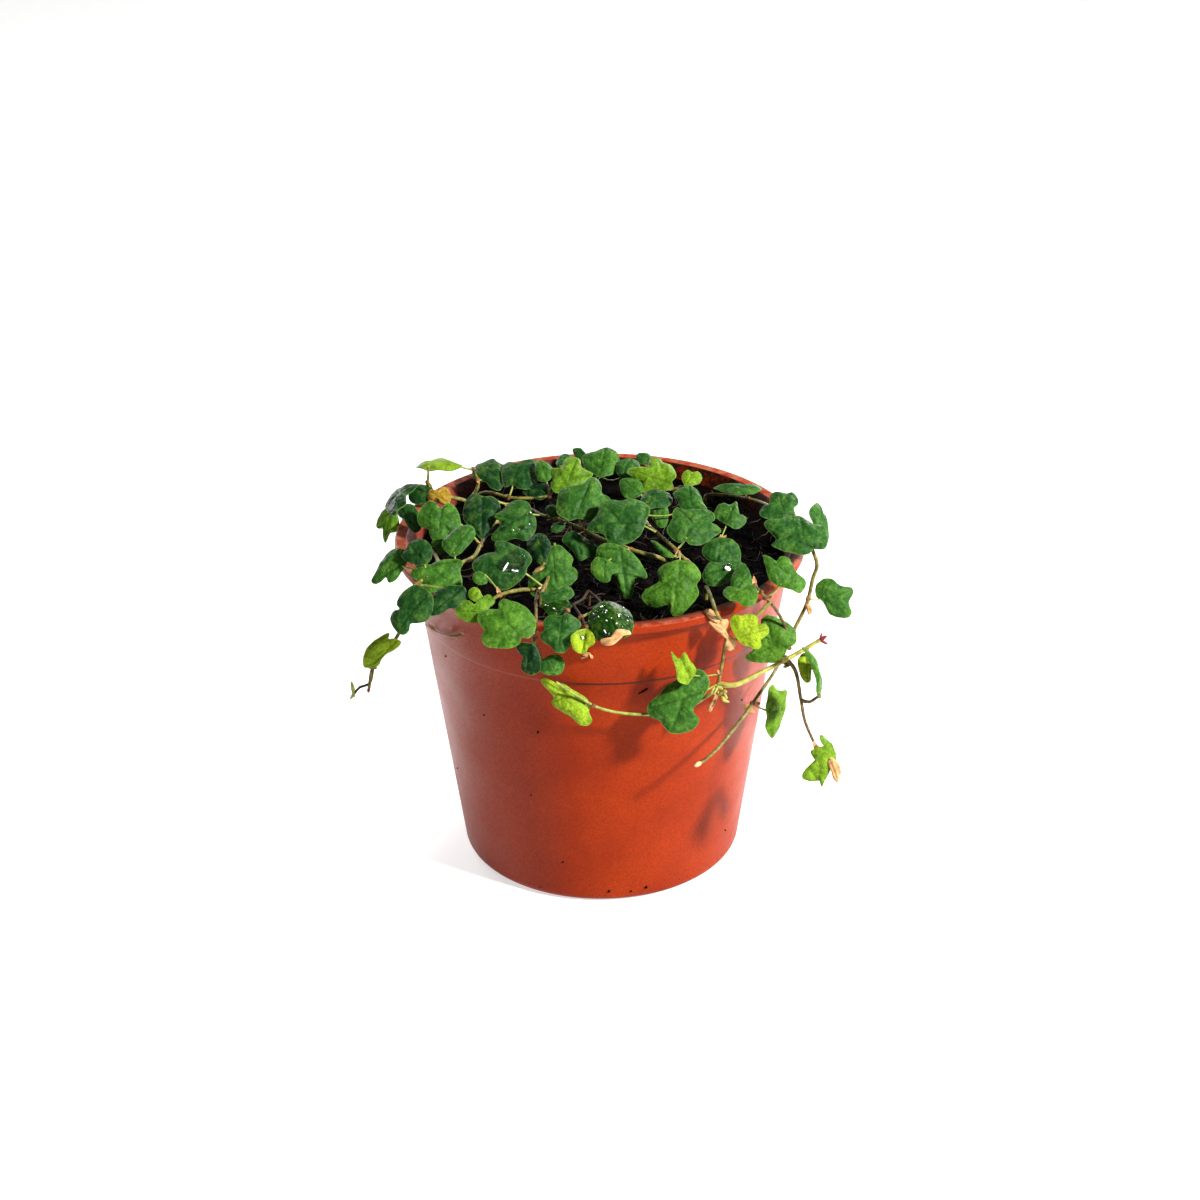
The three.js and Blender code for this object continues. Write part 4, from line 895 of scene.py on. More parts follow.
runner(
    "vine_right_inner",
    stem("brown", (737, 563, 98), (745, 573, 101.5), (752, 582, 103), (760, 592, 102.8), (770, 602, 98.5),
        (780, 616, 92.5), (787, 632, 87), (789, 648, 82.5)),
    stem("olive", (737, 563, 98), (728, 551, 101.5), (720, 540, 103.5)),
    stem("olive", (770, 602, 98.5), (757, 616, 97), (745, 628, 95), (737, 640, 92)),
    leaf((727, 523), 107.5, (736, 500), 56, 0.36, (726, 524), (720, 520), (714, 513), (716, 508),
        (720, 503), (725, 502), (728, 504), (733, 503), (736, 500), (738, 507), (740, 514), (746, 516),
        (746, 520), (742, 525), (737, 528)),
    leaf((721, 539), 106, (717, 566), 50, 0.27, (702, 551), (706, 543), (714, 538), (723, 537), (732, 539),
        (739, 545), (741, 554), (739, 561), (729, 565), (718, 565), (711, 560), (705, 556)),
    leaf((741, 566), 106, (704, 574), 50, 0.33, (711, 561), (706, 566), (703, 575), (708, 583), (717, 585),
        (726, 582), (734, 578), (742, 572), (742, 562), (730, 560), (720, 562)),
    leaf((749, 574), 106.6, (731, 596), 52, 0.38, (731, 582), (733, 573), (738, 566), (743, 562),
        (748, 569), (751, 577), (752, 586), (747, 591), (738, 594), (732, 590)),
    leaf((749, 587), 107, (728, 599), 74, 0.5, (723, 590), (729, 585), (740, 588), (750, 584), (757, 589),
        (757, 597), (752, 603), (744, 604), (738, 600), (729, 598)),
    leaf((783, 587), 104, (769, 555), 38, 0.47, (764, 554), (770, 557), (777, 561), (781, 556), (788, 557),
        (792, 563), (796, 571), (805, 579), (806, 584), (800, 593), (793, 590), (783, 587), (777, 585),
        (770, 579), (766, 567)),
    leaf((789, 649), 83, (750, 630), 24, 0.52, (762, 620), (766, 616), (773, 616), (780, 619), (789, 624),
        (795, 629), (797, 636), (795, 644), (787, 649), (785, 655), (781, 661), (774, 663), (763, 663),
        (753, 662), (746, 659), (747, 655), (752, 652), (756, 642), (761, 632)),
    leaf((739, 637), 94.5, (769, 629), 30, 0.92, (731, 627), (731, 619), (735, 614), (741, 616), (747, 614),
        (755, 615), (758, 619), (758, 624), (765, 624), (769, 629), (767, 635), (761, 640), (761, 647),
        (757, 649), (748, 646), (740, 642), (735, 635)),
)
runner(
    "vine_front_trail",
    stem("olive", (706, 588, 97.5), (710, 595, 100), (713, 603, 103.4), (716, 612, 102.4), (721, 621, 98.5),
        (726, 633, 94), (724, 652, 88), (718, 684, 78.5), (716, 690, 76.5)),
    stem("straw", (718, 684, 78.5), (734, 685, 79), (760, 673, 81), (787, 659, 83.5), (805, 649, 86),
        (820, 640, 88.5)),
    stem("brown", (787, 659, 83.5), (795, 670, 80.5), (801, 700, 71), (805, 721, 65.5), (816, 747, 58.5)),
    stem("brown", (801, 702, 70.5), (809, 702, 71), (819, 696, 73)),
    stem("green", (716, 690, 76.5), (690, 706, 72.5), (648, 714.5, 71.5), (601, 708.5, 74),
        (576, 695, 78.5), (556, 682, 83.5)),
    leaf((709, 690), 79.6, (650, 709), 22, 0.4, (648, 708), (651, 702), (660, 695), (665, 688), (672, 683),
        (680, 679), (688, 673), (697, 670), (705, 673), (710, 680), (708, 689), (703, 697), (697, 704),
        (693, 710), (695, 715), (699, 719), (697, 726), (690, 732), (680, 734), (671, 734), (665, 729),
        (660, 721), (652, 718), (648, 713)),
    leaf((690, 677), 84.5, (678, 654), 16, 0.82, (672, 652), (676, 657), (680, 659), (684, 652), (689, 660),
        (695, 669), (693, 677), (687, 684), (681, 683), (676, 680), (675, 670), (673, 661), turn=25,
        fold=0.2),
    leaf((591, 707), 74.6, (543, 681), 24, 0.86, (541, 681), (545, 679), (553, 682), (557, 685), (563, 684),
        (572, 690), (584, 697), (590, 705), (589, 713), (592, 721), (588, 726), (580, 725), (571, 717),
        (559, 710), (552, 703), (554, 698), (549, 691)),
    leaf((806, 651), 84.5, (808, 683), 20, 0.86, (798, 661), (801, 655), (808, 653), (814, 657), (815, 664),
        (812, 668), (811, 675), (810, 682), (806, 683), (802, 678), (799, 669)),
    leaf((820, 697), 73.5, (812, 653), 8, 0.5, (809, 647), (814, 651), (819, 661), (822, 674), (824, 687),
        (823, 696), (820, 697), (818, 688), (817, 676), (814, 665), (811, 656), turn=75),
    leaf((817, 748), 59.5, (805, 777), 20, 0.72, (811, 751), (817, 748), (824, 746), (830, 742), (835, 750),
        (835, 759), (831, 768), (829, 774), (825, 782), (822, 788), (820, 782), (812, 782), (803, 779),
        (802, 776), (806, 769), (812, 763), (815, 760), (812, 755)),
    leaf((825, 745), 58.5, (838, 768), 20, 0.62, (823, 734), (829, 740), (835, 748), (840, 755), (839, 761),
        (836, 763), (832, 758), (828, 750), (823, 743), turn=70),
    husk((720, 622), 99, (706, 614), 30, 0.9),
    husk((725, 633), 96, (709, 622), 20, 0.9),
    husk((725, 640), 92, (735, 650), 20, 0.9),
    husk((718, 692), 77.5, (711, 708), 20, 0.7),
    bud(1, "bud", 0.6, 2.8, 0),
    bud(1, "bud", 0.45, 3.2, 60),
    bud(1, "bud", 0.4, 2.6, -45),
    knot((719, 693), 78, "straw", 12, 1.9),
    knot((789, 661), 83, "olive", 6, 1.5),
    paper((724, 628), 97, (706, 611), 25, (704, 612), (709, 609), (716, 614), (722, 619), (728, 620),
        (727, 628), (721, 632), (714, 624)),
    paper((723, 632), 95, (735, 646), 20, (724, 628), (729, 635), (736, 640), (736, 646), (730, 651),
        (725, 646), (726, 638), (721, 634)),
    paper((716, 700), 75.5, (709, 711), 15, (717, 699), (714, 706), (710, 712), (708, 709), (712, 702)),
    paper((830, 761), 56.2, (838, 782), 15, (828, 762), (832, 759), (838, 769), (839, 778), (838, 783),
        (834, 780), (831, 771)),
    paper((832, 760), 56.5, (841, 776), 12, (831, 758), (838, 762), (842, 772), (839, 776), turn=20),
)
runner(
    "vine_front",
    stem("dark", (589, 592, 98.5), (582, 600, 101.5), (573, 605, 103), (566, 612, 103.6),
        (561, 622, 103.4)),
    stem("dark", (589, 592, 98.5), (597, 598, 101.5), (602, 604, 103.2)),
    stem("dark", (573, 605, 103), (580, 615, 103.8), (586, 627, 103)),
    leaf((563, 617), 105.5, (558, 651), 34, 0.3, (545, 619), (550, 615), (559, 616), (568, 614), (575, 617),
        (581, 624), (577, 631), (572, 638), (570, 645), (565, 652), (555, 651), (550, 645), (543, 641),
        (540, 635), (545, 629), (543, 624)),
    leaf((586, 629), 103.4, (582, 652), 26, 0.92, (571, 636), (575, 632), (583, 629), (591, 631),
        (595, 638), (594, 644), (588, 648), (586, 653), (579, 653), (573, 648), fold=0.25),
    leaf((602, 603), 107.5, (617, 631), 68, 0.04, (588, 620), (590, 610), (597, 603), (608, 599),
        (620, 600), (629, 606), (633, 615), (632, 626), (626, 633), (615, 637), (603, 636), (593, 629),
        fold=-0.2, wet=True),
    leaf((558, 604), 104.8, (557, 617), 60, 0.04, (541, 603), (550, 601), (560, 600), (568, 600),
        (571, 606), (567, 613), (560, 617), (551, 616), (545, 609), wet=True),
    paper((631, 633), 104, (602, 642), 45, (631, 634), (625, 634), (620, 639), (614, 645), (608, 646),
        (602, 643), (601, 639), (607, 641), (612, 635), (617, 630), (624, 630), (630, 631), fold=0.3),
)
print(len(RUNNERS), "runners with", sum(len(rows_of(node, "leaf")) for node in RUNNERS), "leaves")

# %% [markdown]
# ## Smooth curves
# A stem and a leaf's outline are both smooth curves through a few places. The centripetal
# form of the Catmull-Rom curve never loops between places that lie unevenly, so it suits
# both.

# %% Curves through places
PATH_STEP = 1.2
RING_STEP = 0.02


def curve_through(ends, spacing):
    """Points along the curve from the second of some places to the last but one."""
    path = []
    for a, b, c, d in zip(ends, ends[1:], ends[2:], ends[3:]):
        before, across, after = [max((q - p).length ** 0.5, 1e-6) for p, q in ((a, b), (b, c), (c, d))]
        first = ((b - a) / before - (c - a) / (before + across) + (c - b) / across) * across
        last = ((c - b) / across - (d - b) / (across + after) + (d - c) / after) * across
        steps = max(2, round((c - b).length / spacing))
        for i in range(steps):
            t = i / steps
            cubic = (2 * b - 2 * c + first + last) * t**3
            square = (-3 * b + 3 * c - 2 * first - last) * t**2
            path.append(cubic + square + first * t + b)
    return path


def open_path(points):
    """A smooth path from the first of some points to the last."""
    ends = [points[0] * 2 - points[1], *points, points[-1] * 2 - points[-2]]
    return [*curve_through(ends, PATH_STEP * MM), points[-1]]


def even_ring(points, count):
    """A smooth closed outline through points, as so many points that lie evenly."""
    path = curve_through([points[-1], *points, *points[:2]], RING_STEP)
    path.append(path[0])
    walked = [0.0]
    for p, q in zip(path, path[1:]):
        walked.append(walked[-1] + (q - p).length)
    ring, k = [], 0
    for i in range(count):
        goal = walked[-1] * i / count
        while walked[k + 1] < goal:
            k += 1
        ring.append(path[k].lerp(path[k + 1], (goal - walked[k]) / (walked[k + 1] - walked[k])))
    return ring


print("curves ready")

# %% [markdown]
# ## Leaf blades
# The blade of this fig has blunt, rounded lobes, a notch at its stalk and a surface that
# swells between its veins. One flat, round blank is modelled from a circle whose edge is
# extruded inwards ring by ring, so that the faces of every blade will follow its margin. A
# copy of the blank becomes a leaf when each of its rings is laid on a smaller copy of that
# leaf's outline. A withered scale will get a smaller blank from the same function.

# %% Model a blank
BLADE_STEPS = 72
BLADE_RINGS = (1.0, 0.965, 0.9, 0.8, 0.68, 0.55, 0.42, 0.29, 0.15)


def disc(steps, rings):
    """A flat round blank: its rings are shares of its radius, and its last one meets in a point."""
    circle = {"vertices": steps, "radius": 1, "fill_type": "NOTHING"}
    made = added(bpy.ops.mesh.primitive_circle_add, **circle)
    bpy.ops.object.mode_set(mode="EDIT")
    bpy.ops.mesh.select_all(action="SELECT")
    for before, after in zip(rings, rings[1:]):
        bpy.ops.mesh.extrude_region_move()
        bpy.ops.transform.resize(value=(after / before, after / before, 1))
    bpy.ops.mesh.extrude_region_move()
    bpy.ops.mesh.merge(type="CENTER")
    outward()
    bpy.ops.object.mode_set(mode="OBJECT")
    return made


def round_places(made, steps):
    """Each point of a blank as its step round the rim and its share of the radius."""
    flat = [vertex.co for vertex in made.data.vertices]
    return [(round(math.atan2(p.y, p.x) / math.tau * steps) % steps, math.hypot(p.x, p.y)) for p in flat]


blank = disc(BLADE_STEPS, BLADE_RINGS)
if blank.data.polygons[0].normal.z < 0:
    blank.data.flip_normals()
blank_places = round_places(blank, BLADE_STEPS)
print("blank has", len(blank.data.polygons), "faces")

# %% [markdown]
# An outline is given in shares of the leaf's length, across it and along it from its stalk's
# end. Most leaves have their own, from the sights round their rim; a scale and a leaf without
# a rim have a common form. The midrib runs to the tip. A side vein runs to each lobe, which
# is where the outline stands farther out than on both sides.

# %% Outlines and veins
FORMS = {
    "leaf": [
        (0.02, 1), (0.2, 0.86), (0.26, 0.66), (0.48, 0.6), (0.46, 0.34), (0.36, 0.08), (0.14, -0.03),
        (0, 0.05), (-0.18, -0.04), (-0.42, 0.08), (-0.5, 0.34), (-0.42, 0.58), (-0.24, 0.68), (-0.16, 0.92),
    ],
    "husk": [
        (0, 1), (0.12, 0.7), (0.18, 0.4), (0.14, 0.12), (0, 0), (-0.14, 0.14), (-0.17, 0.42), (-0.1, 0.72),
    ],
}


def leaf_axes(row):
    """A leaf's stalk end, its side, its axis, its normal and its length."""
    level = math.cos(row.lean)
    normal = Vector((level * math.sin(row.turn), -level * math.cos(row.turn), math.sin(row.lean)))
    base = at_height(row.at, row.z)
    tip = on_plane(row.to, base, normal)
    axis = (tip - base).normalized()
    return base, axis.cross(normal), axis, normal, (tip - base).length


def outline_of(row):
    """The places of a blade's outline, anticlockwise as seen from its face."""
    base, side, axis, normal, length = leaf_axes(row)
    if row.rim:
        away = [on_plane(sight, base, normal) - base for sight in row.rim]
        places = [Vector((step.dot(side), step.dot(axis))) / length for step in away]
    else:
        places = [Vector((across * row.wide, along)) for across, along in FORMS[row.part]]
    area = sum(p.x * q.y - p.y * q.x for p, q in zip(places, places[1:] + places[:1]))
    return places if area > 0 else places[::-1]


def veins_of(outline, middle):
    """The midrib and the side veins of a blade, each as its start and its end."""
    veins = [(Vector((0, 0)), Vector((0, 0.97)))]
    reach = [(place - middle).length for place in outline]
    for i, lobe in enumerate(outline):
        if reach[i] > max(reach[i - 1], reach[(i + 1) % len(outline)]) and abs(lobe.x) > 0.13:
            start = min(0.85, max(0.04, lobe.y - 0.8 * abs(lobe.x)))
            veins.append((Vector((0, start)), lobe.copy()))
    return veins


def vein_distance(place, veins):
    """How far a place of a blade is from its nearest vein; a vein thins out to its end."""
    best = 1.0
    for start, end in veins:
        run = end - start
        along = min(1.0, max(0.0, (place - start).dot(run) / run.length_squared))
        best = min(best, (place - start - run * along).length * (1 + 0.8 * along))
    return best


print("outlines can be drawn")

# %% [markdown]
# ### Living leaf
# A leaf is a thin body with a waxy skin. Old leaves are dark green, young ones lime, and the
# tone that each leaf carries picks its colour from one ramp; a lighter tone for a leaf in
# shade is painted light. Clouds and grain make it uneven, its veins are darkened with painted
# shade where they sink into creases, its margin is a thin pale line, and the small cells
# between the finest veins are swellings of about a millimetre. The wax gives a soft, broken
# gloss, and a small share of subsurface light stands for the light that comes through.

# %% Leaf finish


def leaf_finish(name, stops, roughness, shine, edge_colour):
    """A leaf finish whose colour follows the tone of each leaf."""
    skin = Finish(name)
    base = skin.ramp(skin.attribute("tone"), stops)
    clouds = skin.noise(3.2, 5, 0.68)
    dark = skin.mix(1.0, base, "#84907C", "MULTIPLY")
    light = skin.mix(0.34, base, "#96B43C")
    colour = skin.mix(skin.spread(clouds, 0.34, 0.6, 0.3, 1.0), dark, base)
    colour = skin.mix(skin.spread(clouds, 0.5, 0.74, 0.0, 0.6), colour, light)
    colour = skin.mix(skin.noise(0.5, 3, 0.8, (0.36, 0.6, 0.65, 0.0)), colour, dark)
    # Painted shade along the veins, which sink into creases.
    colour = skin.mix(skin.spread(skin.attribute("vein_crease_shade"), 0.1, 1.0, 0.0, 0.85), colour, dark)
    colour = skin.mix(skin.spread(skin.attribute("margin"), 0.2, 1.0, 0.0, 0.42), colour, edge_colour)
    cells = {"Scale": 1 / (1.2 * MM), "Vector": skin.place()}
    skin.bump(skin.node("TexVoronoi", cells, feature="SMOOTH_F1").outputs["Distance"], -0.38)
    skin.wear({
        "Base Color": colour,
        "Roughness": skin.spread(clouds, 0.3, 0.7, roughness, roughness + 0.16),
        "IOR": 1.45,
        "Specular IOR Level": shine,
        "Subsurface Weight": 0.12,
        "Subsurface Radius": (0.5, 1.0, 0.2),
        "Subsurface Scale": 0.4 * MM,
    })
    return skin


LEAF_STOPS = (
    (0.0, "#0F3415"), (0.12, "#1B441C"), (0.3, "#305E24"), (0.48, "#467624"),
    (0.62, "#62891E"), (0.78, "#7E9E24"), (0.92, "#97AF22"), (1.0, "#B68E30"),
)
UNDER_STOPS = (
    (0.0, "#31502F"), (0.3, "#486C3A"), (0.6, "#6C8F40"), (0.92, "#CEDB98"), (1.0, "#B8964C"),
)
leaf_face = leaf_finish("leaf face", LEAF_STOPS, 0.42, 0.08, "#6F8F42")
leaf_under = leaf_finish("leaf underside", UNDER_STOPS, 0.6, 0.05, "#7F9854")
print("leaf finishes:", leaf_face.material.name, "and", leaf_under.material.name)

# %% [markdown]
# Two leaves at the front are dripping wet. Water fills the small hollows of the skin, so the
# leaf turns darker and mirrors the lamps more sharply, as under a thin clear coat.

# %% Wet leaf finish
WET_STOPS = ((0.0, "#183D06"), (0.5, "#2B5210"), (1.0, "#3F6C1E"))
WATER_IOR = 1.33
wet_face = leaf_finish("wet leaf face", WET_STOPS, 0.3, 0.12, "#4C7422")
wet_face.wear({"Coat Weight": 0.06, "Coat Roughness": 0.05, "Coat IOR": WATER_IOR})
print("wet finish:", wet_face.material.name)

# %% [markdown]
# ### Dry scale
# The small scales at the buds wither to tan paper, thin and matt, with darker patches.

# %% Dry scale finish
dry_scale = Finish("withered leaf scale")
dry_clouds = dry_scale.noise(2.2, 4, 0.65)
dry_colour = dry_scale.mix(dry_scale.spread(dry_clouds, 0.3, 0.7), "#8A5A2C", "#CBA068")
dry_scale.wear({"Base Color": dry_colour, "Roughness": 0.75})
dry_scale.bump(dry_clouds, 0.3)
print("dry finish:", dry_scale.material.name)

# %% [markdown]
# ### Bark of the stems
# Young stem is green, then straw and olive, and old stem is brown with paler, corky streaks.
# The bare stems that come out of the soil in front are dark. The finishes differ in their two
# colours and in their roughness, so one function makes them.

# %% Stem finishes


def bark(name, dark, light, roughness):
    """A stem finish of two colours in small streaks."""
    skin = Finish(name)
    streaks = skin.noise(1.6, 4, 0.65)
    colour = skin.mix(skin.spread(streaks, 0.36, 0.64), dark, light)
    skin.wear({"Base Color": colour, "Roughness": roughness, "Specular IOR Level": 0.25})
    skin.bump(streaks, 0.2)
    return skin


BARKS = {
    "olive": bark("olive stem skin", "#464217", "#827A36", 0.5),
    "brown": bark("brown stem bark", "#3A2B15", "#756031", 0.6),
    "dark": bark("dark root bark", "#1C120A", "#402B19", 0.7),
    "straw": bark("straw stem skin", "#7E7A30", "#AFA650", 0.45),
    "green": bark("green stalk skin", "#66702A", "#95A046", 0.45),
    "joint": bark("corky stem joint", "#4A2A16", "#875A32", 0.65),
    "bud": bark("crimson bud skin", "#4A0E18", "#8A2A2E", 0.5),
    "paper": bark("pale pith", "#9C7E50", "#CDB68C", 0.75),
}
BARK_SLOTS = {kind: slot for slot, kind in enumerate(BARKS)}
STEM_RADIUS = {"olive": 0.66, "brown": 0.58, "dark": 0.5, "straw": 0.78, "green": 0.5}
print("stem finishes:", list(BARKS))

# %% [markdown]
# ## Stems and stalks
# A stem is a smooth curve through its places. The foot of a runner goes straight down into
# the soil. A stalk is a short bow from the nearest point of the stem to the notch of its
# blade.

# %% Curves of the stems
ROOT_DEPTH = 8
FIRST_CLIMB = 4


def nearest(points, place):
    """The point of a list that is nearest to a place."""
    return min(points, key=lambda point: (point - place).length)


def stem_paths(node):
    """The middle lines of a runner's stems, in metres."""
    lines = []
    for row in rows_of(node, "stem"):
        places = [at_height(place[:2], place[2]) for place in row.places]
        if lines:
            start = [nearest([point for line in lines for point in line], places[0])]
        else:
            top = places[0]
            low = Vector((top.x, top.y, (SOIL_CROWN - ROOT_DEPTH + GAP) * MM))
            start = [low, Vector((top.x, top.y, top.z - FIRST_CLIMB * MM)), top]
        lines.append(open_path([*start, *places[1:]]))
    return lines


stem_lines = {node: stem_paths(node) for node in RUNNERS}
print({node: len(lines) for node, lines in stem_lines.items()})

# %% [markdown]
# ## Shape a blade
# A leaf's own side, axis and normal carry its outline into space. The height over the flat
# gives it life: the margins droop or lift and roll under, the tip hangs, the veins sink and
# the fields between them swell like cushions, and a seeded draw makes each blade wave and
# each margin ruffle a little differently.

# %% Lay a blade in its place
DROOP = 0.16
DROOP_START = 0.42
STALK_BOW = 0.15
STALK_STEPS = 9
MARGIN_WIDTH = 0.05


def blade_height(place, reach, angle, groove, fold, mood):
    """Height of a blade over its flat, in shares of its length."""
    folded = 2 * fold * (math.hypot(place.x, 0.05) - 0.05)
    hang = DROOP * max(0.0, place.y - DROOP_START) ** 2
    valley = math.exp(-((groove / 0.07) ** 2))
    cushion = 0.045 * math.sin(math.pi * min(1.0, reach * 1.04)) * (1 - valley)
    swell = 0.03 * noise.noise(Vector((place.x * 3.1, place.y * 3.1, mood)))
    wave = reach**3 * (0.016 * math.sin(3 * angle + mood) + 0.009 * math.sin(7 * angle + 2 * mood))
    return folded - hang + cushion + swell + wave - 0.035 * reach**6


def lay_blade(row, mood):
    """A copy of the blank, shaped as a leaf and put in its place."""
    base, side, axis, normal, length = leaf_axes(row)
    outline = outline_of(row)
    middle = sum(outline, Vector((0, 0))) / len(outline)
    veins = veins_of(outline, middle)
    rim = []
    for place in even_ring(outline, BLADE_STEPS):
        ruffle = 1 + 0.03 * noise.noise(Vector((place.x * 7, place.y * 7, mood)))
        rim.append(middle + (place - middle) * ruffle)
    blade = copy_of(blank)
    made = {key: blade.data.attributes.new(key, "FLOAT", "POINT") for key in ("tone", "margin", "vein_crease_shade")}
    for i, (step, reach) in enumerate(blank_places):
        place = middle.lerp(rim[step], reach)
        groove = vein_distance(place, veins)
        high = blade_height(place, reach, step / BLADE_STEPS * math.tau, groove, row.fold, mood)
        blade.data.vertices[i].co = base + (side * place.x + axis * place.y + normal * high) * length
        made["tone"].data[i].value = row.tone
        made["margin"].data[i].value = max(0.0, (reach - (1 - MARGIN_WIDTH)) / MARGIN_WIDTH)
        # The vein mark places painted shade along the vein creases.
        made["vein_crease_shade"].data[i].value = math.exp(-((groove / 0.03) ** 2)) * min(1.0, (1.02 - reach) * 8)
    return blade


def make_stalk(row, spine, thick):
    """The bowed stalk of a leaf, as the points and the radii of a thread."""
    base, side, axis, normal, length = leaf_axes(row)
    foot = nearest(spine, base)
    end = base + axis * (0.12 * length) - normal * (0.25 * MM)
    bow = (axis + normal) * (-STALK_BOW * (end - foot).length)
    knee = foot.lerp(end, 0.6) + bow
    points, radii = [], []
    for i in range(STALK_STEPS + 1):
        t = i / STALK_STEPS
        points.append(foot * (1 - t) ** 2 + knee * (2 * t * (1 - t)) + end * t**2)
        radii.append((thick * (1 - 0.35 * math.sin(math.pi * i / STALK_STEPS))) * MM)
    return points, radii


print("blades can be laid")

# %% [markdown]
# ## Dry scales, joints and buds
# Where a leaf leaves the stem there is a small corky joint, and often a withered scale. A
# joint or a bud is a short thread that swells in its middle; a scale is a small blank that
# curls.

# %% Small pieces of the stem
SCALE_STEPS = 16
SCALE_RINGS = (1.0, 0.55)


def swelling(point, along, radius, long, kind):
    """A short thread that is thick in its middle: a joint of a stem, or a bud."""
    ends = [point + along * (long * share) for share in (-0.5, -0.3, 0.0, 0.3, 0.5)]
    return ends, [radius * share * MM for share in (0.35, 0.85, 1.0, 0.8, 0.3)], BARK_SLOTS[kind]


def lay_scale(point, way, length, turn):
    """A withered scale that grows from a point, as its own blade."""
    side = way.cross(Vector((math.sin(turn), -math.cos(turn), 0.4))).normalized()
    normal = side.cross(way)
    scale = copy_of(scale_blank)
    for vertex in scale.data.vertices:
        x, y = vertex.co.x, vertex.co.y
        curl = 0.25 * y * y + 1.6 * x * x
        vertex.co = point + (side * x * 1.3 + way * y + normal * curl) * length
    return scale


scale_blank = disc(SCALE_STEPS, SCALE_RINGS)
husk_rim = even_ring([Vector(place) for place in FORMS["husk"][::-1]], SCALE_STEPS)
for vertex, (step, reach) in zip(scale_blank.data.vertices, round_places(scale_blank, SCALE_STEPS)):
    spread = Vector((0, 0.45)).lerp(husk_rim[step], reach)
    vertex.co = (spread.x, spread.y, 0)
print("scale blank has", len(scale_blank.data.polygons), "faces")

# %% [markdown]
# ## Grow the runners
# Now each runner is put together: its stems and stalks as one mesh of threads, with joints
# where the leaves start, its blades as one mesh, given a real thickness of about a third of
# a millimetre, and its withered scales as one mesh. All of them stand for the runner's node.
# Stalks start only where a stem is out of the soil or near the rim.

# %% Put each runner together
LEAF_THICK = 0.32
SCALE_THICK = 0.16
SMALL_LEAF = 9
RIM_ZONE = 55
STALK_RADIUS = 0.42
SMALL_STALK_RADIUS = 0.32
JOINT_RADIUS = 0.74
JOINT_LONG = 1.8
KNOT_BUD_LONG = 2.2
FIRST_SEED = 100


def drawn(draw, reach):
    """A vector whose three values are drawn between minus and plus a reach."""
    return Vector([draw.uniform(-reach, reach) for _ in range(3)])


def finish_sheets(sheets, name, finishes, thick, *vines):
    """Joins thin blades, gives them their thickness and hands them over."""
    made = joined(sheets, *finishes)
    thickness = made.modifiers.new("thickness", "SOLIDIFY")
    thickness.thickness = thick * MM
    thickness.offset = 0
    thickness.material_offset = 1
    bpy.ops.object.modifier_apply(modifier=thickness.name)
    bpy.ops.object.shade_smooth_by_angle(angle=math.radians(60))
    hand_over(made, name, "foliage", *vines)


def grow(node, draw):
    """Makes the stems, blades and scales of one runner."""
    lines = stem_lines[node]
    spine = [point for line in lines for point in line]
    spine = [p for p in spine if p.z > SOIL_CROWN * MM or math.hypot(p.x, p.y) > RIM_ZONE * MM]
    paths, scales, blades, wet = [], [], [], []
    for line, row in zip(lines, rows_of(node, "stem")):
        slim = [1.0 - 0.3 * i / len(line) for i in range(len(line))]
        radii = [STEM_RADIUS[row.kind] * (share + draw.uniform(-0.03, 0.03)) * MM for share in slim]
        paths.append((line, radii, BARK_SLOTS[row.kind]))
    for row in rows_of(node, "leaf", "husk"):
        blade = lay_blade(row, draw.uniform(0, 6))
        if row.part == "husk":
            scales.append(blade)
            continue
        (wet if row.wet else blades).append(blade)
        thick = SMALL_STALK_RADIUS if leaf_axes(row)[4] < SMALL_LEAF * MM else STALK_RADIUS
        points, radii = make_stalk(row, spine, thick)
        paths.append((points, radii, BARK_SLOTS["green"]))
        foot, away = points[0], (points[1] - points[0]).normalized()
        paths.append(swelling(foot, away, JOINT_RADIUS, JOINT_LONG * MM, "joint"))
        for _ in range(draw.choice((0, 1, 1, 2))):
            way, long = (away + drawn(draw, 0.8)).normalized(), draw.uniform(1.6, 3.0) * MM
            scales.append(lay_scale(foot, way, long, draw.uniform(-1, 1)))
    for row in rows_of(node, "bud"):
        end, previous = lines[row.number][-1], lines[row.number][-2]
        way = (end - previous).normalized()
        way.rotate(Quaternion(AHEAD, math.radians(row.angle)))
        middle = end + way * (0.3 * row.long * MM)
        paths.append(swelling(middle, way, row.radius, row.long * MM, row.kind))
    for row in rows_of(node, "knot"):
        for _ in range(row.count):
            place = at_height(row.sight, row.z) + drawn(draw, 1) * (row.spread * MM)
            way = drawn(draw, 1).normalized()
            radius = draw.uniform(0.4, 0.7)
            paths.append(swelling(place, way, radius, KNOT_BUD_LONG * MM, row.kind))
    scales += [lay_blade(row, 1.0) for row in rows_of(node, "paper")]
    short = node.removeprefix("vine_")
    hand_over(threads(paths, 1, *BARKS.values()), "stems_" + short, "foliage", node)
    finish_sheets(blades, "leaves_" + short, [leaf_face, leaf_under], LEAF_THICK, node)
    if wet:
        finish_sheets(wet, "wet_leaves_" + short, [wet_face, leaf_under], LEAF_THICK, node)
    if scales:
        finish_sheets(scales, "scales_" + short, [dry_scale, dry_scale], SCALE_THICK, node)


for number, node in enumerate(RUNNERS):
    grow(node, random.Random(FIRST_SEED + number))

# %% [markdown]
# ## Scraps and crumbs on the pot
# A dry tendril with papery scraps clings to the pot at the left, a few more scraps hang at
# its front, and crumbs of peat stick to its wall, some of them in a dark streak. Their places
# are lines of sight only: each one lies where its line meets the pot.

# %% Find places on a surface


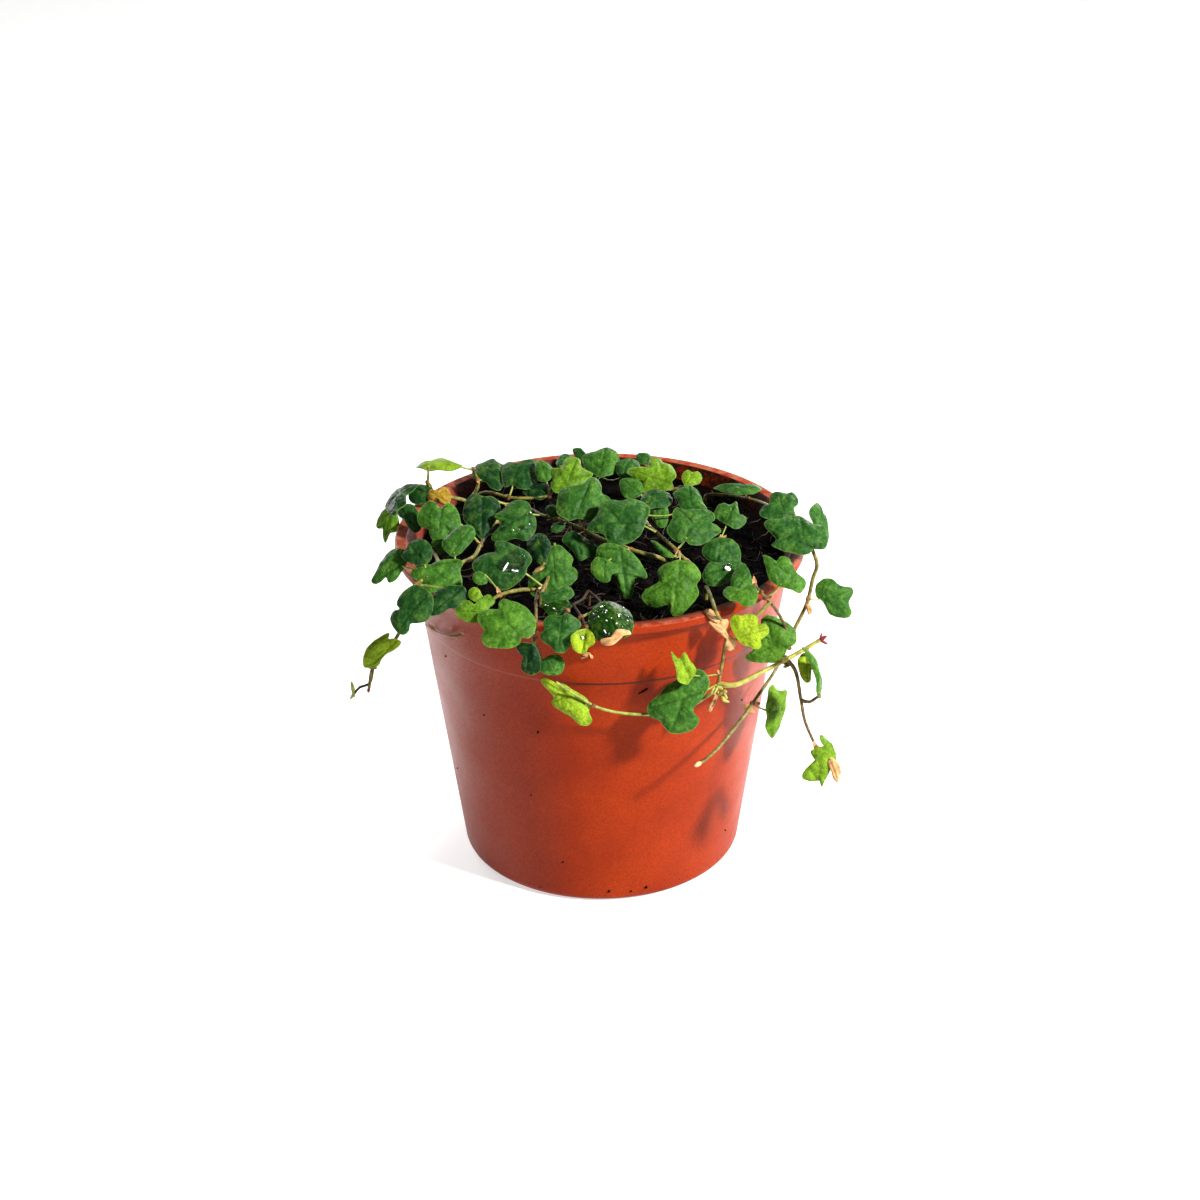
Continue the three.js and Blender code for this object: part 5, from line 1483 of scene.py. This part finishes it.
def met_by(sight, pieces):
    """The nearest point of some pieces that a line of sight meets, and the normal there."""
    line = sight_line(sight).normalized()
    hits = [piece.ray_cast(EYE, line) for piece in pieces]
    found = [(point, normal) for met, point, normal, _ in hits if met]
    return min(found, key=lambda hit: (hit[0] - EYE).length)


def on_wall(sight, lift):
    """The place of a sight on the pot, lifted off it by so many millimetres."""
    point, normal = met_by(sight, [pot])
    return point + normal * (lift * MM)


bpy.context.view_layer.update()
print("pot is met at", [round(c, 4) for c in on_wall((600, 800), 0)])

# %% Lay the scraps and the crumbs
TENDRIL = [(427, 624), (436, 630), (446, 634), (455, 636), (464, 634)]
SCRAPS = [
    ((436, 629), 2.2, 0.4), ((454, 633), 2.4, 1.4), ((458, 637), 2.0, -0.6), ((467, 634), 1.6, 0.2),
    ((588, 652), 2.4, -0.8), ((593, 657), 2.2, 0.9), ((585, 656), 2.0, 2.2), ((591, 653), 2.6, 0.1),
    ((712, 704), 2.0, 1.2),
]
STUCK = [
    ((609, 891), 0.45), ((631, 891), 0.35), ((646, 887), 0.5), ((538, 732), 0.35), ((484, 715), 0.3),
    ((639, 693.5), 0.25), ((640.5, 692.7), 0.3), ((642.3, 691.8), 0.35), ((644, 690.8), 0.35),
    ((645.6, 689.8), 0.3), ((647, 688.8), 0.25), ((458, 768), 0.3), ((742, 700), 0.3),
    ((725, 830), 0.3), ((563, 862), 0.3), ((531, 795), 0.25), ((446, 656), 0.3),
]
SCRAP_LIFT = 0.5
path = open_path([on_wall(sight, SCRAP_LIFT) for sight in TENDRIL])
hand_over(threads([(path, [0.22 * MM] * len(path), 0)], 0, BARKS["brown"]), "dry_tendril", "foliage")
scraps = []
for sight, long, angle in SCRAPS:
    point, normal = met_by(sight, [pot])
    across = normal.cross(Vector((0, 0, 1))).normalized()
    way = across * math.cos(angle) + across.cross(normal) * math.sin(angle)
    start = point + normal * (SCRAP_LIFT * MM)
    scraps.append(lay_scale(start, (way + normal * 0.3).normalized(), long * MM, angle))
crumb = added(bpy.ops.mesh.primitive_ico_sphere_add, subdivisions=1, radius=MM)
copies = []
for sight, size in STUCK:
    copy = copy_of(crumb)
    copy.data.transform(Matrix.Translation(on_wall(sight, 0.1)) @ Matrix.Diagonal((size, size, size, 1)))
    copies.append(copy)
hand_over(joined(copies, peat), "stuck_crumbs", "soil")
finish_sheets(scraps, "paper_scraps", [dry_scale, dry_scale], SCALE_THICK)
for spare in (crumb, blank, scale_blank):
    bpy.data.objects.remove(spare)

# %% [markdown]
# ## Water
# The plant has just been watered. A drop on a waxy leaf is a flat dome with a round edge, and
# the largest one fills the cup of a leaf. Each drop is a sphere whose lower half is pressed
# flat. It is laid on the leaf that its line of sight meets, with its axis along the surface's
# normal, so it sits on the blade and not in the air.

# %% Water finish
water = Finish("water")
water.wear({"Base Color": "#FFFFFF", "Transmission Weight": 1.0, "IOR": WATER_IOR, "Roughness": 0.02})
print("water is clear, IOR", WATER_IOR)

# %% Lay the drops
DROPS = [
    ((511, 561), 4.2, 0.13), ((503, 529), 1.0), ((512, 531), 0.6), ((522, 527), 1.1), ((527, 530), 0.7),
    ((530, 514), 0.7), ((727, 568), 1.5, 0.5), ((619, 616), 0.9), ((604, 612), 0.6), ((607, 634), 0.8),
    ((622, 628), 0.5), ((558, 611), 0.6), ((431, 517), 0.5), ((437, 530), 0.5), ((733, 508), 0.5),
    ((604, 606), 0.4), ((505, 568), 0.8, 0.9), ((515, 571), 0.8, 0.9), ((583, 637), 0.9),
    ((547, 607), 0.6), ((566, 606), 0.5), ((596, 612), 0.6), ((628, 618), 0.6),
]
blade_pieces = [piece for piece in bpy.data.objects if "leaves_" in piece.name]
drop = added(bpy.ops.mesh.primitive_uv_sphere_add, segments=20, ring_count=12, radius=MM)
for vertex in drop.data.vertices:
    if vertex.co.z < 0:
        vertex.co.z *= 0.15


def lay_drop(sight, radius, flat=0.6):
    """A drop on the leaf that a sight meets. Its height is a share of its radius."""
    point, normal = met_by(sight, blade_pieces)
    copy = copy_of(drop)
    turn = normal.to_track_quat("Z", "Y").to_matrix().to_4x4()
    size = Matrix.Diagonal((radius, radius * 0.9, radius * flat, 1))
    copy.data.transform(Matrix.Translation(point) @ turn @ size)
    return copy


drops = joined([lay_drop(*row) for row in DROPS], water)
bpy.data.objects.remove(drop)
bpy.ops.object.shade_smooth()
hand_over(drops, "water_drops", "foliage")

# %% [markdown]
# Where a lamp mirrors in a drop there is a bright bead of light. On such small drops the
# mirror image of a lamp comes out too thin to be seen, so the brightest ones are laid on as
# painted highlights: short, thin white strokes that glow a little.

# %% Lay the painted highlights
PAINTED_GLINTS = [
    ((503, 571), (508, 563), 0.3), ((512, 570), (518, 571), 0.3), ((725, 567), (730, 570), 0.65),
    ((600, 607), (603, 606), 0.16), ((606, 610), (607, 611), 0.2),
    ((619, 614), (619, 617), 0.22), ((606, 620), (607, 621), 0.18), ((604, 630), (606, 633), 0.2),
    ((616, 624), (617, 623), 0.2), ((627, 620), (628, 621), 0.14), ((593, 613), (594, 614), 0.14),
    ((582, 636), (583, 639), 0.25), ((553, 608), (555, 609), 0.16), ((530, 512), (531, 513), 0.18),
    ((513, 530), (514, 530), 0.14), ((545, 605), (546, 605), 0.14), ((611, 618), (612, 618), 0.14),
    ((598, 616), (599, 617), 0.12), ((623, 607), (624, 608), 0.14), ((529, 524), (530, 524), 0.14),
]
# A white finish that glows a little: painted highlights of the lamp.
glint_paint = Finish("painted lamp glint")
glint_paint.wear({
    "Base Color": "#FFFFFF", "Roughness": 0.15, "Emission Color": "#FFFFFF", "Emission Strength": 0.35,
})
strokes = []
for start, end, thick in PAINTED_GLINTS:
    middle = ((start[0] + end[0]) / 2, (start[1] + end[1]) / 2)
    points = [met_by(sight, [*blade_pieces, drops])[0] for sight in (start, middle, end)]
    strokes.append((points, [thick * 0.6 * MM, thick * MM, thick * 0.6 * MM], 0))
hand_over(threads(strokes, 1, glint_paint), "water_beads", "foliage")

# %% [markdown]
# ## Floor and light
# The plant stands on a light grey sheet that glows, as on a light table, so it looks white and
# shadows on it stay pale. A small, strong lamp at the front right throws the leaves' shadows
# on the pot, down and to the left. Panels behind it at the right and the left light the pot's
# edges. Two small wash lamps over the sheet beside the pot brighten it there, and its
# reflection pales those edges. The white room fills the rest.

# %% Floor
floor = added(bpy.ops.mesh.primitive_plane_add, size=8)
floor.name = "floor"
card = Finish("lit white card")
card.wear({
    "Base Color": card.mix(card.noise(8, 2, spread=(0.3, 0.7)), "#BDBCBA", "#C3C2C0"),
    "Roughness": 0.6,
    "Emission Color": "#FFFFFF",
    "Emission Strength": 0.6,
})
finished(floor, card)

# %% Lamps and room


def panel(name, azimuth, elevation, distance, size, power):
    """A square lamp that faces the middle of the plant. Azimuth 0 is in front, 90 at the right."""
    a, e = math.radians(azimuth), math.radians(elevation)
    middle = Vector((0, 0, 0.06))
    way = Vector((math.sin(a) * math.cos(e), -math.cos(a) * math.cos(e), math.sin(e)))
    bpy.ops.object.light_add(type="AREA", location=middle + way * distance)
    lamp = bpy.context.object
    lamp.name = name
    lamp.rotation_euler = way.to_track_quat("Z", "Y").to_euler()
    lamp.data.size = size
    lamp.data.energy = power
    return lamp


panel("lamp_front_right", 54, 38, 1.4, 0.13, 48)
panel("panel_right", 148, 14, 1.0, 0.6, 12)
panel("panel_left", -150, 14, 1.0, 0.5, 7)
for name, across in (("wash_left", -0.13), ("wash_right", 0.13)):
    wash = panel(name, 0, 90, 0.4, 0.06, 0.2)
    wash.location = (across, 0.04, 0.09)
    wash.rotation_euler = (0, 0, 0)
    wash.data.spread = math.radians(90)
world = bpy.data.worlds.new("white room")
bpy.context.scene.world = world
world.use_nodes = True
background = world.node_tree.nodes["Background"]
background.inputs["Color"].default_value = (1, 1, 1, 1)
background.inputs["Strength"].default_value = 0.24
bpy.context.scene.view_settings.view_transform = "Standard"
